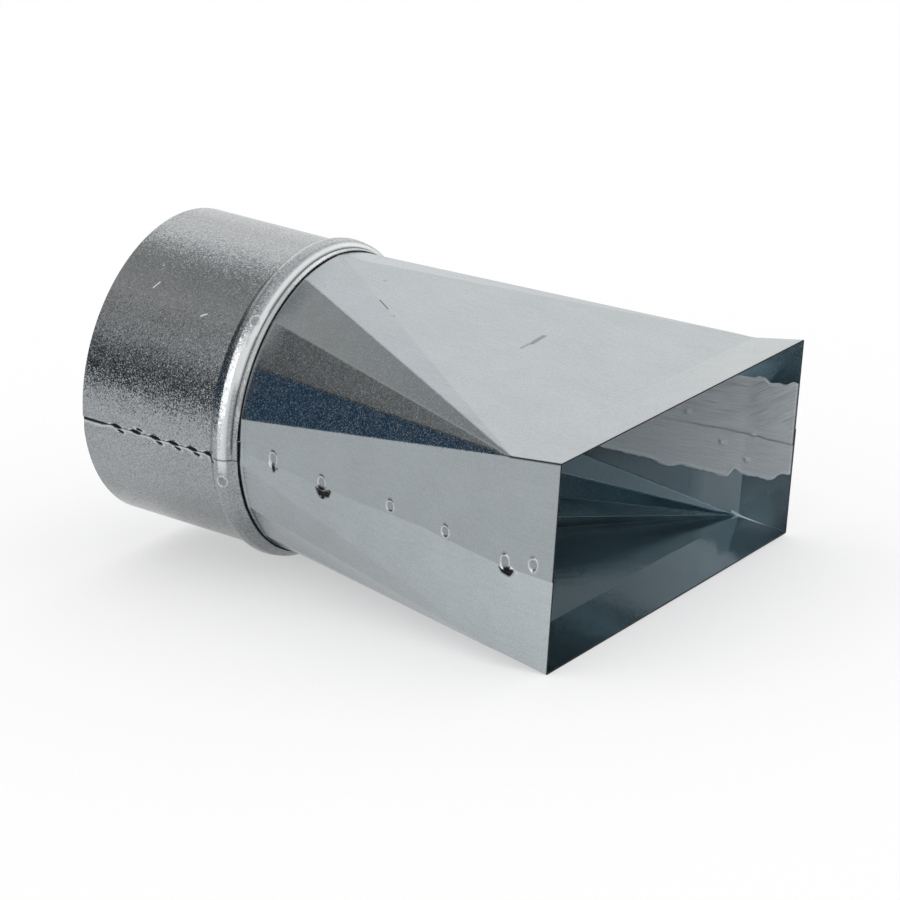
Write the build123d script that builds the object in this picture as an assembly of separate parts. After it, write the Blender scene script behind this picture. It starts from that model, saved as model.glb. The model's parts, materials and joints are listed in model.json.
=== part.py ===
"""Sheet steel duct fitting: a rectangular mouth that folds down to a round, beaded collar.

Millimetres. +X runs along the duct from the collar's open end to the mouth, +Z is up,
and the origin is the centre of the collar's open end.
"""
from build123d import *
import math
import os

# Sheet
sheet = 0.6                  # thickness of the galvanised sheet

# Round collar
spigot_diameter = 150.0      # outside of the plain stretch
spigot_length = 75.0         # open end to the foot of the bead
bead_height = 2.7            # crown above the plain stretch
bead_flank = 3.4             # length of the rising and of the falling side
bead_crown = 5.2             # flat of the crown, before its shoulders are rounded
crown_fall = 0.45            # how much lower the crown lies on the mouth's side
bead_round = 1.8             # rounding of the bead's shoulders, on the outside
collar_step_in = 0.9         # how far the lip behind the bead lies inside the plain stretch
collar_lip = 2.6             # length of the lip behind the bead

# Lap seam of the collar
seam_angle = 97.3            # degrees from the top towards the near side
seam_lap = 10.0              # overlap, measured round the collar
seam_ramp = 8.0              # stretch over which the lower end dips in under the upper

# Folded transition
crease_angles = (0.0, 21.8, 43.4, 61.8, 81.0)   # fold lines on each quarter of the ring, degrees
ring_tuck = 2.6              # how far the creased ring lies past the collar's lip
ring_round_length = 2.4      # stretch where the round lip turns into the creased ring
fold_width = 213.4           # outside sizes where the neck is folded up
fold_height = 91.0
transition_length = 164.6    # creased ring to the neck's fold

# Neck and mouth
neck_length = 25.4
mouth_width = 215.2          # outside sizes at the open edge, which is sprung out a little
mouth_height = 97.6

# Side seams of the two halves
outer_tab = 4.5              # the outer half's wall passes mid height by this much
inner_tab = 2.5              # and the inner half's wall by this much
lap_clearance = 0.05         # between the two lapped walls
butt_gap = 0.4               # between the two halves where they meet inside the collar
tab_relief = 1.0             # the laps start this far past the creased ring
nest_clearance = 0.05        # between the collar and the lip nested in it

# Holes burnt through the near wall under three of its welds
burn_holes = (               # distance from the creased ring, height, and the hole's length and height
    (20.6, -5.3, 2.5, 3.0),
    (53.2, -6.6, 5.5, 6.0),
    (166.6, -6.5, 4.5, 4.0),
)
burn_points = 5              # tongues of each ragged outline
burn_notch = 0.6             # how far in the outline runs between them, as a share

# Brushed sealant inside the side seams
sealant_thickness = 0.8
sealant_above = 26.0         # band edges, measured from mid height
sealant_below = 24.0
sealant_start = 14.0         # from the creased ring
sealant_end_margin = 0.6     # bare edge left at the mouth
sealant_clearance = 0.02

# Places that follow from the sizes
spigot_radius = spigot_diameter / 2
crown_radius = spigot_radius + bead_height
lip_radius = spigot_radius - collar_step_in
crown_start = spigot_length + bead_flank
crown_end = crown_start + bead_crown
bead_end = crown_end + bead_flank
collar_length = bead_end + collar_lip
nest_depth = sheet + nest_clearance
ring_radius = lip_radius - nest_depth
ring_x = collar_length + ring_tuck
round_x = ring_x - ring_round_length
fold_x = ring_x + transition_length
mouth_x = fold_x + neck_length
half_shift = (sheet + lap_clearance) / 2
crease_radius = ring_radius - half_shift
reach = 2 * (mouth_x + mouth_width + spigot_diameter)   # longer than the part in any direction


def ring_point(x, radius, angle, shift=0.0):
    """Point on a ring about the duct's axis, angle in degrees from the top towards the near side."""
    turn = math.radians(angle)
    return Vector(x, shift - radius * math.sin(turn), radius * math.cos(turn))


def ring_arc(x, radius, start, end):
    """Arc of such a ring between two angles."""
    angles = (start, (start + end) / 2, end)
    return Edge.make_three_point_arc(*[ring_point(x, radius, angle) for angle in angles])


def polygon(points):
    """Flat face whose corners are the given points, in order."""
    return Face(Wire.make_polygon(points))


def quarter_turns():
    """Crease angles of the ring's quarters: near top, near bottom, far bottom and far top."""
    rising = list(crease_angles)
    falling = [180 - angle for angle in reversed(crease_angles)]
    return [rising, falling, [180 + angle for angle in rising], [180 + angle for angle in falling]]


def rectangle_corners(x, width, height, shift):
    """Corners of a rectangular section, in the order of the ring's quarters."""
    order = ((-1, 1), (-1, -1), (1, -1), (1, 1))
    return [Vector(x, shift + sy * width / 2, sz * height / 2) for sy, sz in order]


def ring_stretch(inset, shift):
    """Faces that turn the round lip into the creased ring, and the plane that closes their round end."""
    turns = sorted({angle % 360 for quarter in quarter_turns() for angle in quarter})
    faces = []
    arcs = []
    for start, end in zip(turns, turns[1:] + [turns[0] + 360]):
        chord = [ring_point(ring_x, crease_radius - inset, angle, shift) for angle in (start, end)]
        arcs.append(ring_arc(round_x, ring_radius - inset, start, end))
        faces.append(Face.make_surface_from_curves(arcs[-1], Edge.make_line(*chord)))
    return faces + [Face(Wire(arcs))]


def folded_walls(inset, shift, corners):
    """Flat facets that fan out from each corner to the creased ring, and the flat walls between them."""
    quarters = quarter_turns()
    faces = []
    for index, turns in enumerate(quarters):
        following = (index + 1) % len(quarters)
        tips = [ring_point(ring_x, crease_radius - inset, angle, shift) for angle in turns]
        next_tip = ring_point(ring_x, crease_radius - inset, quarters[following][0], shift)
        faces += [polygon([a, b, corners[index]]) for a, b in zip(tips, tips[1:])]
        wall = [tips[-1], corners[following], corners[index]]
        if (next_tip - tips[-1]).length > sheet:
            wall.insert(1, next_tip)
        faces.append(polygon(wall))
    return faces


def neck_walls(fold, mouth):
    """Flat walls of the neck and the plane across the mouth."""
    pairs = list(zip(fold, mouth))
    walls = [polygon([a, b, d, c]) for (a, c), (b, d) in zip(pairs, pairs[1:] + pairs[:1])]
    return walls + [polygon(mouth)]


def duct_core(inset, shift, overrun=0.0):
    """Everything inside the sheet's face, from the round lip to the mouth, smaller by an inset."""
    trim = 2 * inset
    flare = 1 + overrun / neck_length
    wide = fold_width + (mouth_width - fold_width) * flare - trim
    high = fold_height + (mouth_height - fold_height) * flare - trim
    fold = rectangle_corners(fold_x, fold_width - trim, fold_height - trim, shift)
    mouth = rectangle_corners(mouth_x + overrun, wide, high, shift)
    skin = ring_stretch(inset, shift) + folded_walls(inset, shift, fold) + neck_walls(fold, mouth)
    return Solid(Shell(skin))


def bead_line(start_x, end_x):
    """Outer line of the collar's section, from a place on the spigot or the crown to one on the lip."""
    tail = [(crown_end, crown_radius - crown_fall), (bead_end, lip_radius)]
    lip = Line(tail[-1], (end_x, lip_radius))
    if start_x >= crown_start:
        on_crown = (start_x, crown_radius - crown_fall * (start_x - crown_start) / bead_crown)
        return Wire(FilletPolyline(on_crown, *tail, radius=bead_round).edges() + lip.edges())
    head = [(spigot_length, spigot_radius), (crown_start, crown_radius)]
    plain = Line((start_x, spigot_radius), head[0])
    return Wire(plain.edges() + FilletPolyline(*head, *tail, radius=bead_round).edges() + lip.edges())


def sheet_below(line, depth):
    """Section of one sheet whose outer face lies a depth inside a line on the XY plane."""
    outer, inner = [
        line.offset_2d(d, kind=Kind.INTERSECTION, side=Side.RIGHT, closed=False) if d else line
        for d in (depth, depth + sheet)
    ]
    ends = [Edge.make_line(outer @ place, inner @ place) for place in (0, 1)]
    return make_face(outer.edges() + inner.edges() + ends)


def spigot_band():
    """Plain stretch of the collar: one rolled strip whose lower end is joggled in under the upper."""
    under = spigot_radius - sheet
    far_under = under - sheet
    ramp_end = seam_angle + math.degrees(seam_ramp / spigot_radius)
    inner_edge = seam_angle - math.degrees(seam_lap / spigot_radius)
    outside = [
        ring_arc(0.0, spigot_radius, ramp_end, seam_angle + 360),
        Edge.make_line(ring_point(0.0, spigot_radius, seam_angle), ring_point(0.0, under, seam_angle)),
        Edge.make_line(ring_point(0.0, under, seam_angle), ring_point(0.0, spigot_radius, ramp_end)),
    ]
    inside = [
        ring_arc(0.0, under, ramp_end, inner_edge + 360),
        Edge.make_line(ring_point(0.0, under, inner_edge), ring_point(0.0, far_under, inner_edge)),
        ring_arc(0.0, far_under, inner_edge, seam_angle),
        Edge.make_line(ring_point(0.0, far_under, seam_angle), ring_point(0.0, under, ramp_end)),
    ]
    section = Face(Wire(outside), [Wire(inside)])
    return extrude(section, amount=spigot_length - bead_round, dir=(1, 0, 0))


def make_collar():
    """Rolled collar with its lap seam, the swaged bead and the lip that holds the folded halves."""
    section = sheet_below(bead_line(spigot_length - bead_round, collar_length), 0.0)
    return spigot_band() + revolve(section, Axis.X)


def make_lip():
    """Round lip of the folded halves, swelled out into the collar's bead."""
    crown_middle = (crown_start + crown_end) / 2
    section = sheet_below(bead_line(crown_middle, round_x), nest_depth)
    return revolve(section, Axis.X)


def block(x0, x1, y0, y1, z0, z1):
    """Box between limits on each axis."""
    return Pos((x0 + x1) / 2, (y0 + y1) / 2, (z0 + z1) / 2) * Box(x1 - x0, y1 - y0, z1 - z0)


def make_half():
    """Upper half: a folded sheet whose near wall laps outside and whose far wall laps inside."""
    wall = duct_core(0.0, -half_shift) - duct_core(sheet, -half_shift, overrun=sheet)
    folded = wall + make_lip()
    tab_x = ring_x + tab_relief
    keep = block(-reach, tab_x, -reach, reach, butt_gap / 2, reach)
    keep += block(tab_x, reach, -reach, 0, -outer_tab, reach)
    keep += block(tab_x, reach, 0, reach, -inner_tab, reach)
    return folded & keep


def make_burn(along, z, width, height):
    """Ragged hole through the near wall, reaching from mid width outwards."""
    outline = []
    for step in range(2 * burn_points):
        share = burn_notch if step % 2 else 1.0
        turn = math.pi * step / burn_points
        x = ring_x + along + share * width / 2 * math.cos(turn)
        outline.append(Vector(x, 0, z + share * height / 2 * math.sin(turn)))
    return extrude(polygon(outline), amount=reach, dir=(0, -1, 0))


def make_sealant():
    """Band brushed over the far side seam, on the inner tab and on the wall below it."""
    back = sheet + sealant_clearance
    front = duct_core(back + sealant_thickness, -half_shift, overrun=sheet)
    x0 = ring_x + sealant_start
    x1 = mouth_x - sealant_end_margin
    tab_edge = -inner_tab - sealant_clearance
    on_tab = duct_core(back, -half_shift) - front
    on_wall = duct_core(back, half_shift) - front
    upper = on_tab & block(x0, x1, 0, reach, tab_edge, sealant_above)
    lower = on_wall & block(x0, x1, 0, reach, -sealant_below, tab_edge)
    return upper + lower


def main():
    """Build every piece and write it out."""
    os.makedirs("parts", exist_ok=True)
    half_turn = Rotation(180, 0, 0)
    upper_shell = make_half()
    far_sealant = make_sealant()
    pieces = {
        "round_collar": make_collar(),
        "upper_shell": upper_shell,
        "lower_shell": half_turn * upper_shell - [make_burn(*burn) for burn in burn_holes],
        "seam_sealant_far": far_sealant,
        "seam_sealant_near": half_turn * far_sealant,
    }
    for name, shape in pieces.items():
        export_step(shape, f"parts/{name}.step")


main()
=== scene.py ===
"""Dress the duct reducer: smooth sheet meshes, weld and seam marks, brushed sealant and a plain studio.

Sizes are in millimetres and meshes are written in metres. +X runs along the duct from the collar's
open end to the mouth, +Z is up, and angles on the duct are degrees from the top towards the near side.
"""
import json
import logging
import math
from dataclasses import dataclass
from enum import Enum

import bmesh
import bpy
from mathutils import Matrix, Vector, noise
from mathutils.bvhtree import BVHTree
from mathutils.geometry import intersect_point_line


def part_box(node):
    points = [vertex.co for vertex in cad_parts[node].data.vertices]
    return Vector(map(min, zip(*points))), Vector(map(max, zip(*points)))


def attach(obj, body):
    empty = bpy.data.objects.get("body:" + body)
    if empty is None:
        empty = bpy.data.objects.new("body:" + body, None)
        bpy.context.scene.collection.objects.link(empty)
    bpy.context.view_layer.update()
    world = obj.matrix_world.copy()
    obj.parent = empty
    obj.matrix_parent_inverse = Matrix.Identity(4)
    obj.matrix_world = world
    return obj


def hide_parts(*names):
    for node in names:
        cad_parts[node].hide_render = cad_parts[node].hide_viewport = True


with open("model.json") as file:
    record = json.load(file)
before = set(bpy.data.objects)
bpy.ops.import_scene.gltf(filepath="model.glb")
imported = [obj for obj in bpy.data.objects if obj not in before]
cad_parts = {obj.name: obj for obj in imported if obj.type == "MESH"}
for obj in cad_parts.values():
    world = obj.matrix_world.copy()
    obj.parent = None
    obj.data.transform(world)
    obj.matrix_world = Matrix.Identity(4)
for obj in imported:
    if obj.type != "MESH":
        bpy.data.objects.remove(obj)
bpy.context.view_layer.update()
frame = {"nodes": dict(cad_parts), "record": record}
LOG = logging.getLogger("duct_reducer")
MM = 0.001
BODY = "root"
# Mesh attribute of painted shade in creases, gaps, pits and on cut edges, together with real grime, scuffs
# and soot.
SHADE_AND_GRIME = "shade_and_grime"
# Mesh attribute of painted highlights on rims, crowns, lips and edges, together with real bright scratches.
HIGHLIGHT_AND_SCRATCH = "highlight_and_scratch"
INSIDE = "inside"
# Mesh attribute of the brush's tone on the mastic, with a painted highlight along the band's edges.
BRUSH_TONE_AND_EDGE_HIGHLIGHT = "stroke"
SHARP_ANGLE = math.radians(50)
SAME_PLACE = 0.01
MERGE_REACH = 0.001
HALF_TURN = Matrix.Rotation(math.pi, 3, "X")
Socket = bpy.types.NodeSocket
Pair = tuple[float, float]
Colour = tuple[float, float, float]
Paint = tuple[float, float, float, float]
Knots = tuple[Pair, ...]
Stops = tuple[tuple[float, Colour], ...]
Outline = list[Vector]
WHITE: Paint = (1.0, 1.0, 1.0, 1.0)


class Half(Enum):
    """The two folded halves of the transition, by the node that each stands for."""

    UPPER = "upper_shell"
    LOWER = "lower_shell"


class Side(Enum):
    """The two side seams, by the node of the sealant inside each."""

    FAR = "seam_sealant_far"
    NEAR = "seam_sealant_near"


def ramp(value: float, low: float, high: float) -> float:
    """Smooth step from 0 at low to 1 at high."""
    share = min(1.0, max(0.0, (value - low) / (high - low)))
    return share * share * (3 - 2 * share)


def hump(value: float, width: float) -> float:
    """Bell curve of height 1 about 0."""
    return math.exp(-((value / width) ** 2))


def along_knots(x: float, knots: Knots) -> float:
    """Value at x on a smooth line through knots.

    Args:
        x: place along the duct.
        knots: places and values, in order.

    Returns:
        The value there, and that of the nearest knot outside them.
    """
    value = knots[0][1]
    for (start, first), (end, second) in zip(knots, knots[1:]):
        if x > start:
            value = first + (second - first) * ramp(x, start, end)
    return value


def ring_point(x: float, radius: float, angle: float, shift: float = 0.0) -> Vector:
    """Point on a ring about the duct's axis, with the angle in degrees from the top."""
    turn = math.radians(angle)
    return Vector((x, shift - radius * math.sin(turn), radius * math.cos(turn)))


def angle_of(point: Vector) -> float:
    """Angle of a point about the duct's axis, in degrees from the top towards the near side."""
    return math.degrees(math.atan2(-point.y, point.z))


def rounded_line(points: list[Pair], radii: tuple[float, ...], steps: int) -> list[Vector]:
    """Line through points in the XZ plane with its inner corners rounded.

    Args:
        points: corners of the line as (x, z).
        radii: rounding of each inner corner.
        steps: segments in each rounding.

    Returns:
        The points of the rounded line.
    """
    corners = [Vector((x, 0.0, z)) for x, z in points]
    line = [corners[0]]
    for before, corner, after, radius in zip(corners, corners[1:], corners[2:], radii):
        back, ahead = (before - corner).normalized(), (after - corner).normalized()
        half = back.angle(ahead) / 2
        centre = corner + (back + ahead).normalized() * radius / math.sin(half)
        start = corner + back * radius / math.tan(half) - centre
        end = corner + ahead * radius / math.tan(half) - centre
        line += [centre + start.slerp(end, step / steps) * radius for step in range(steps + 1)]
    return line + [corners[-1]]


def is_inside(point: Vector, outline: Outline) -> bool:
    """Whether a point of the XZ plane lies inside a closed outline.

    Args:
        point: any point of the plane.
        outline: corners of the outline, in order.

    Returns:
        True inside it.
    """
    crossings = 0
    for first, second in zip(outline, outline[1:] + outline[:1]):
        if (first.z > point.z) != (second.z > point.z):
            share = (point.z - first.z) / (second.z - first.z)
            crossings += point.x < first.x + share * (second.x - first.x)
    return crossings % 2 == 1


def nearest_on(point: Vector, outline: Outline) -> Vector:
    """Nearest point of a closed outline in the XZ plane.

    Args:
        point: any point of the plane.
        outline: corners of the outline, in order.

    Returns:
        The nearest point on its sides.
    """
    feet = []
    for first, second in zip(outline, outline[1:] + outline[:1]):
        foot, share = intersect_point_line(point, first, second)
        feet.append(first if share < 0 else second if share > 1 else foot)
    return min(feet, key=lambda foot: (foot - point).length)


def add_wall(bm: bmesh.types.BMesh, thickness: float, reach: float) -> None:
    """Give a single skin its wall, inwards, note its inner side and keep the wall's edges crisp.

    Args:
        bm: the skin, with its faces turned outwards.
        thickness: thickness of the wall.
        reach: place along the duct where the wall ends.
    """
    bmesh.ops.solidify(bm, geom=bm.faces[:], thickness=thickness)
    bm.normal_update()
    inside = bm.verts.layers.float.new(INSIDE)
    for vert in bm.verts:
        vert[inside] = float(vert.normal.yz.dot(vert.co.yz) < 0)
        vert.co.x = min(max(vert.co.x, 0.0), reach)
    for edge in bm.edges:
        edge.smooth = len(edge.link_faces) == 2 and edge.calc_face_angle() < SHARP_ANGLE


def new_object(bm: bmesh.types.BMesh, name: str, material: bpy.types.Material) -> bpy.types.Object:
    """Put a mesh into the scene.

    Args:
        bm: the mesh in metres, which is freed.
        name: name of the object.
        material: its finish.

    Returns:
        The new object.
    """
    mesh = bpy.data.meshes.new(name)
    bm.to_mesh(mesh)
    bm.free()
    made = bpy.data.objects.new(name, mesh)
    bpy.context.scene.collection.objects.link(made)
    mesh.materials.append(material)
    return made


def write_piece(bm: bmesh.types.BMesh, name: str, material: bpy.types.Material) -> bpy.types.Object:
    """Write a mesh made in millimetres as a piece of the object, in metres.

    Args:
        bm: the finished mesh, which is freed.
        name: name of the piece.
        material: its finish.

    Returns:
        The new object, riding on the part's one body.
    """
    bmesh.ops.scale(bm, vec=(MM, MM, MM), verts=bm.verts)
    for face in bm.faces:
        face.smooth = True
    piece = new_object(bm, name, material)
    flat = piece.modifiers.new("flat_facets", "WEIGHTED_NORMAL")
    flat.keep_sharp = True
    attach(piece, BODY)
    LOG.info("%s: %d faces", name, len(piece.data.polygons))
    return piece


@dataclass(frozen=True)
class DuctSizes:
    """Sizes of the fitting that more than one piece needs."""

    spigot_radius: float
    crown_radius: float
    collar_length: float
    mouth_x: float
    mouth_half_width: float
    mouth_half_height: float = 48.8
    sheet: float = 0.6
    collar_step_in: float = 0.9
    nest_clearance: float = 0.05
    lap_clearance: float = 0.05
    ring_tuck: float = 2.6
    neck_length: float = 25.4
    fold_half_width: float = 106.7
    fold_half_height: float = 45.5
    crease_angles: tuple[float, ...] = (0.0, 21.8, 43.4, 61.8, 81.0)

    @classmethod
    def from_frame(cls) -> "DuctSizes":
        """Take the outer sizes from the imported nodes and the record.

        Returns:
            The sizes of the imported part.
        """
        collar_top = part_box("round_collar")[1] / MM
        shell_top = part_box(Half.UPPER.value)[1] / MM
        return cls(
            spigot_radius=frame["record"]["mounts"][0]["dims"]["r_mm"],
            crown_radius=collar_top.z,
            collar_length=collar_top.x,
            mouth_x=shell_top.x,
            mouth_half_width=shell_top.y + (cls.sheet + cls.lap_clearance) / 2,
        )

    @property
    def half_shift(self) -> float:
        """How far each half is set sideways so that the walls lap."""
        return (self.sheet + self.lap_clearance) / 2

    @property
    def lip_radius(self) -> float:
        """Outer radius of the collar's lip."""
        return self.spigot_radius - self.collar_step_in

    @property
    def ring_radius(self) -> float:
        """Outer radius of the halves' lip, nested in the collar's."""
        return self.lip_radius - self.sheet - self.nest_clearance

    @property
    def crease_radius(self) -> float:
        """Radius on which the creases start."""
        return self.ring_radius - self.half_shift

    @property
    def ring_x(self) -> float:
        """Place of the creased ring."""
        return self.collar_length + self.ring_tuck

    @property
    def fold_x(self) -> float:
        """Place of the fold between transition and neck."""
        return self.mouth_x - self.neck_length


class NodeBoard:
    """Adds and links the nodes of one material."""

    COLOUR_MIX_INPUTS = (0, 6, 7)
    COLOUR_MIX_OUTPUT = 2

    def __init__(self, tree: bpy.types.NodeTree) -> None:
        """Start from an empty tree."""
        self.tree = tree
        self.tree.nodes.clear()

    def add(self, kind: str, settings: dict | None = None, **inputs: object) -> bpy.types.Node:
        """Add a node.

        Args:
            kind: type name of the node.
            settings: properties of the node itself.
            inputs: sockets by name, with _ for a space, or by number after an i.

        Returns:
            The new node.
        """
        node = self.tree.nodes.new(kind)
        for key, value in (settings or {}).items():
            setattr(node, key, value)
        for key, value in inputs.items():
            self.plug(node.inputs[int(key[1:]) if key[1:].isdigit() else key.replace("_", " ")], value)
        return node

    def plug(self, socket: Socket, value: object) -> None:
        """Set a socket's value, or link it if the value is a socket.

        Args:
            socket: the input.
            value: a plain value or another node's output.
        """
        if isinstance(value, Socket):
            self.tree.links.new(value, socket)
        else:
            socket.default_value = value

    def operate(self, kind: str, operation: str, values: tuple[object, ...]) -> bpy.types.Node:
        """Node of a kind that works one operation out on its values."""
        inputs = {f"i{index}": value for index, value in enumerate(values)}
        return self.add(kind, {"operation": operation}, **inputs)

    def math(self, operation: str, *values: object) -> Socket:
        """Result of a math node on one, two or three values."""
        return self.operate("ShaderNodeMath", operation, values).outputs[0]

    def vector(self, operation: str, *values: object) -> Socket:
        """Vector result of a vector math node."""
        return self.operate("ShaderNodeVectorMath", operation, values).outputs["Vector"]

    def measure(self, operation: str, *values: object) -> Socket:
        """Number that a vector math node gives, such as a length."""
        return self.operate("ShaderNodeVectorMath", operation, values).outputs["Value"]

    def scaled(self, vector: object, factor: object) -> Socket:
        """Vector times a number."""
        node = self.add("ShaderNodeVectorMath", {"operation": "SCALE"}, i0=vector, Scale=factor)
        return node.outputs["Vector"]

    def spread(self, value: object, low: float, high: float, start: float = 0.0,
               end: float = 1.0) -> Socket:
        """Value mapped from one range to another, and kept there.

        Args:
            value: the value.
            low: where the first range starts.
            high: where it ends.
            start: result at low and beyond.
            end: result at high and beyond.

        Returns:
            The mapped value.
        """
        node = self.add("ShaderNodeMapRange", None, Value=value)
        for name, number in zip(("From Min", "From Max", "To Min", "To Max"), (low, high, start, end)):
            node.inputs[name].default_value = number
        return node.outputs[0]

    def mix(self, share: object, first: object, second: object) -> Socket:
        """Colour between two others.

        Args:
            share: share of the second colour.
            first: the first colour.
            second: the second colour.

        Returns:
            The mixed colour.
        """
        node = self.add("ShaderNodeMix", {"data_type": "RGBA"})
        for index, value in zip(self.COLOUR_MIX_INPUTS, (share, first, second)):
            self.plug(node.inputs[index], value)
        return node.outputs[self.COLOUR_MIX_OUTPUT]

    def noise(self, place: object, scale: float, detail: float = 2.0) -> Socket:
        """Soft noise between about 0.2 and 0.8."""
        return self.add("ShaderNodeTexNoise", None, Vector=place, Scale=scale, Detail=detail).outputs["Fac"]

    def attribute(self, name: str) -> Socket:
        """Number that the mesh carries at each point."""
        return self.add("ShaderNodeAttribute", {"attribute_name": name}).outputs["Fac"]

    def object_mm(self) -> Socket:
        """Object coordinates in millimetres."""
        return self.scaled(self.add("ShaderNodeTexCoord").outputs["Object"], 1 / MM)


def new_material(name: str) -> tuple[bpy.types.Material, NodeBoard]:
    """Start a finish.

    Args:
        name: name of the finish.

    Returns:
        The material and the board for its nodes.
    """
    made = bpy.data.materials.new(name)
    made.use_nodes = True
    return made, NodeBoard(made.node_tree)


@dataclass(frozen=True)
class Stroke:
    """A scratch, a scuff, a painted highlight or a patch of painted light on the sheet, as a straight stroke
    between two points.

    Its limits are planes that it ends at, each as a normal and the reach along that.
    """

    start: Vector
    end: Vector
    width: float
    strength: float = 1.0
    grain: float = 0.0
    limits: tuple[tuple[Vector, float], ...] = ()
    core_share: float = 0.2
    edge_share: float = 0.5
    grain_range: Pair = (0.38, 0.58)

    def mask(self, board: NodeBoard, place: Socket) -> Socket:
        """Share of the stroke at a place.

        Args:
            board: the material's nodes.
            place: object coordinates in millimetres.

        Returns:
            The stroke's strength on its line, broken up by any grain, and 0 away from it or past its limits.
        """
        run = self.end - self.start
        offset = board.vector("SUBTRACT", place, self.start)
        along = board.spread(board.measure("DOT_PRODUCT", offset, run / run.length_squared), 0.0, 1.0)
        away = board.measure("LENGTH", board.vector("SUBTRACT", offset, board.scaled(run, along)))
        core, edge = self.width * self.core_share, self.width * self.edge_share
        line = board.spread(away, core, edge, self.strength, 0.0)
        for normal, reach in self.limits:
            within = board.math("LESS_THAN", board.measure("DOT_PRODUCT", place, normal), reach)
            line = board.math("MULTIPLY", line, within)
        if not self.grain:
            return line
        grain = board.spread(board.noise(place, self.grain), *self.grain_range)
        return board.math("MULTIPLY", line, grain)


@dataclass(frozen=True)
class GalvanisedSheet:
    """Bright zinc coat with a fine spangle, with painted shade and grime in its pits and creases, painted
    highlights on its edges, strokes of wear and strokes of painted light.
    """

    name: str
    colour: Colour
    # The coat's colour at the mouth, lighter as painted light on the neck.
    mouth_colour: Colour
    dullness: float
    dull_power: float = 4.0
    inner_dullness: float = 0.35
    spangle_size: float = 0.45
    usual_tip: float = 0.02
    rare_tip: float = 0.12
    inner_tip: float = 0.35
    tip_reach: tuple[float, float, float] = (0.5, 1.0, 1.0)
    flake: float = 0.04
    roughness: float = 0.2
    inner_roughness: float = 0.13
    # Extra roughness where the coat is darkened by painted shade, grime or soot.
    dark_roughness: float = 0.4
    scatter: float = 0.6
    # Stretch over which the coat lightens to its colour at the mouth.
    fade: Pair = (100.0, 282.0)
    # Painted shade: the coat is darker on faces that slope downwards.
    underside_shade: float = 0.84
    underside_shade_slopes: Pair = (-0.52, -0.78)
    noise_range: Pair = (0.3, 0.7)
    cloud_scale: float = 0.045
    cloud_detail: float = 3.0
    cloud_range: Pair = (0.97, 1.03)
    rolled: tuple[float, float, float] = (0.03, 0.7, 0.7)
    rolled_range: Pair = (0.975, 1.025)
    dent_scale: float = 0.05
    dent_depth: float = 0.12
    # Painted light: a bluer, lighter coat for the inner side, a lit copy of the same zinc.
    inside: Paint = (0.445, 0.545, 0.59, 1.0)
    # Pale tint of painted light on the inner walls.
    painted_light_tint: Paint = (0.76, 0.85, 0.89, 1.0)
    # Tint of painted highlights and of bright scratches.
    highlight_and_scratch_tint: Paint = (0.80, 0.82, 0.83, 1.0)
    # Near-black of painted shade, soot and grime.
    soot_and_shade: Paint = (0.012, 0.013, 0.014, 1.0)
    scuffs: tuple[Stroke, ...] = ()
    # Bright scratches on the collar, and painted highlights on the halves' laps.
    scratches_and_glints: tuple[Stroke, ...] = ()
    # Strokes of painted light on the inner walls.
    painted_light_strokes: tuple[Stroke, ...] = ()

    def material(self) -> bpy.types.Material:
        """Make the finish.

        Returns:
            The material.
        """
        made, board = new_material(self.name)
        place = board.object_mm()
        inside = board.attribute(INSIDE)
        # Painted shade, real grime and scuffs darken the coat.
        shade_and_grime = self.with_strokes(board, place, board.attribute(SHADE_AND_GRIME), self.scuffs)
        # Painted highlights and real scratches lighten the coat.
        highlight_and_scratch = self.with_strokes(board, place, board.attribute(HIGHLIGHT_AND_SCRATCH), self.scratches_and_glints)
        # Painted light: pale strokes on the inner walls and along the neck's far corner.
        painted_light_share = board.math("MULTIPLY", inside, self.with_strokes(board, place, 0.0, self.painted_light_strokes))
        cells = board.add("ShaderNodeTexVoronoi", None, Vector=place, Scale=1 / self.spangle_size)
        share = board.spread(inside, 0.0, 1.0, self.dullness, self.dullness * self.inner_dullness)
        dull = board.math("MULTIPLY", board.math("POWER", self.luck(board, cells), self.dull_power), share)
        # Painted highlights and scratches also turn partly matte.
        scattered_highlight = board.math("MULTIPLY", highlight_and_scratch, self.scatter)
        matte = board.math("MAXIMUM", scattered_highlight, board.math("MAXIMUM", dull, painted_light_share))
        # Painted light: the inner side takes its own bluer, lighter coat.
        coat = board.mix(inside, self.coat(board, place, cells), self.inside)
        bright = board.mix(painted_light_share, board.mix(highlight_and_scratch, coat, self.highlight_and_scratch_tint), self.painted_light_tint)
        smooth = board.spread(inside, 0.0, 1.0, self.roughness, self.inner_roughness)
        shader = board.add(
            "ShaderNodeBsdfPrincipled", None,
            Base_Color=board.mix(shade_and_grime, bright, self.soot_and_shade),
            Roughness=board.math("ADD", smooth, board.spread(shade_and_grime, 0.0, 1.0, 0.0, self.dark_roughness)),
            Metallic=board.math("SUBTRACT", 1.0, matte),
            Normal=self.tipped(board, place, cells))
        board.add("ShaderNodeOutputMaterial", None, Surface=shader.outputs[0])
        return made

    @staticmethod
    def with_strokes(board: NodeBoard, place: Socket, base_share: object,
             strokes: tuple[Stroke, ...]) -> Socket | float:
        """Share of a kind of mark, real or painted light and shade, with its strokes.

        Args:
            board: the material's nodes.
            place: object coordinates in millimetres.
            base_share: the share without the strokes.
            strokes: the strokes.

        Returns:
            The largest share at each place.
        """
        for stroke in strokes:
            base_share = board.math("MAXIMUM", base_share, stroke.mask(board, place))
        return base_share

    @staticmethod
    def luck(board: NodeBoard, cells: bpy.types.Node) -> Socket:
        """Random number of each spangle."""
        return board.add("ShaderNodeTexWhiteNoise", {"noise_dimensions": "3D"},
                         Vector=cells.outputs["Position"]).outputs["Value"]

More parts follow.
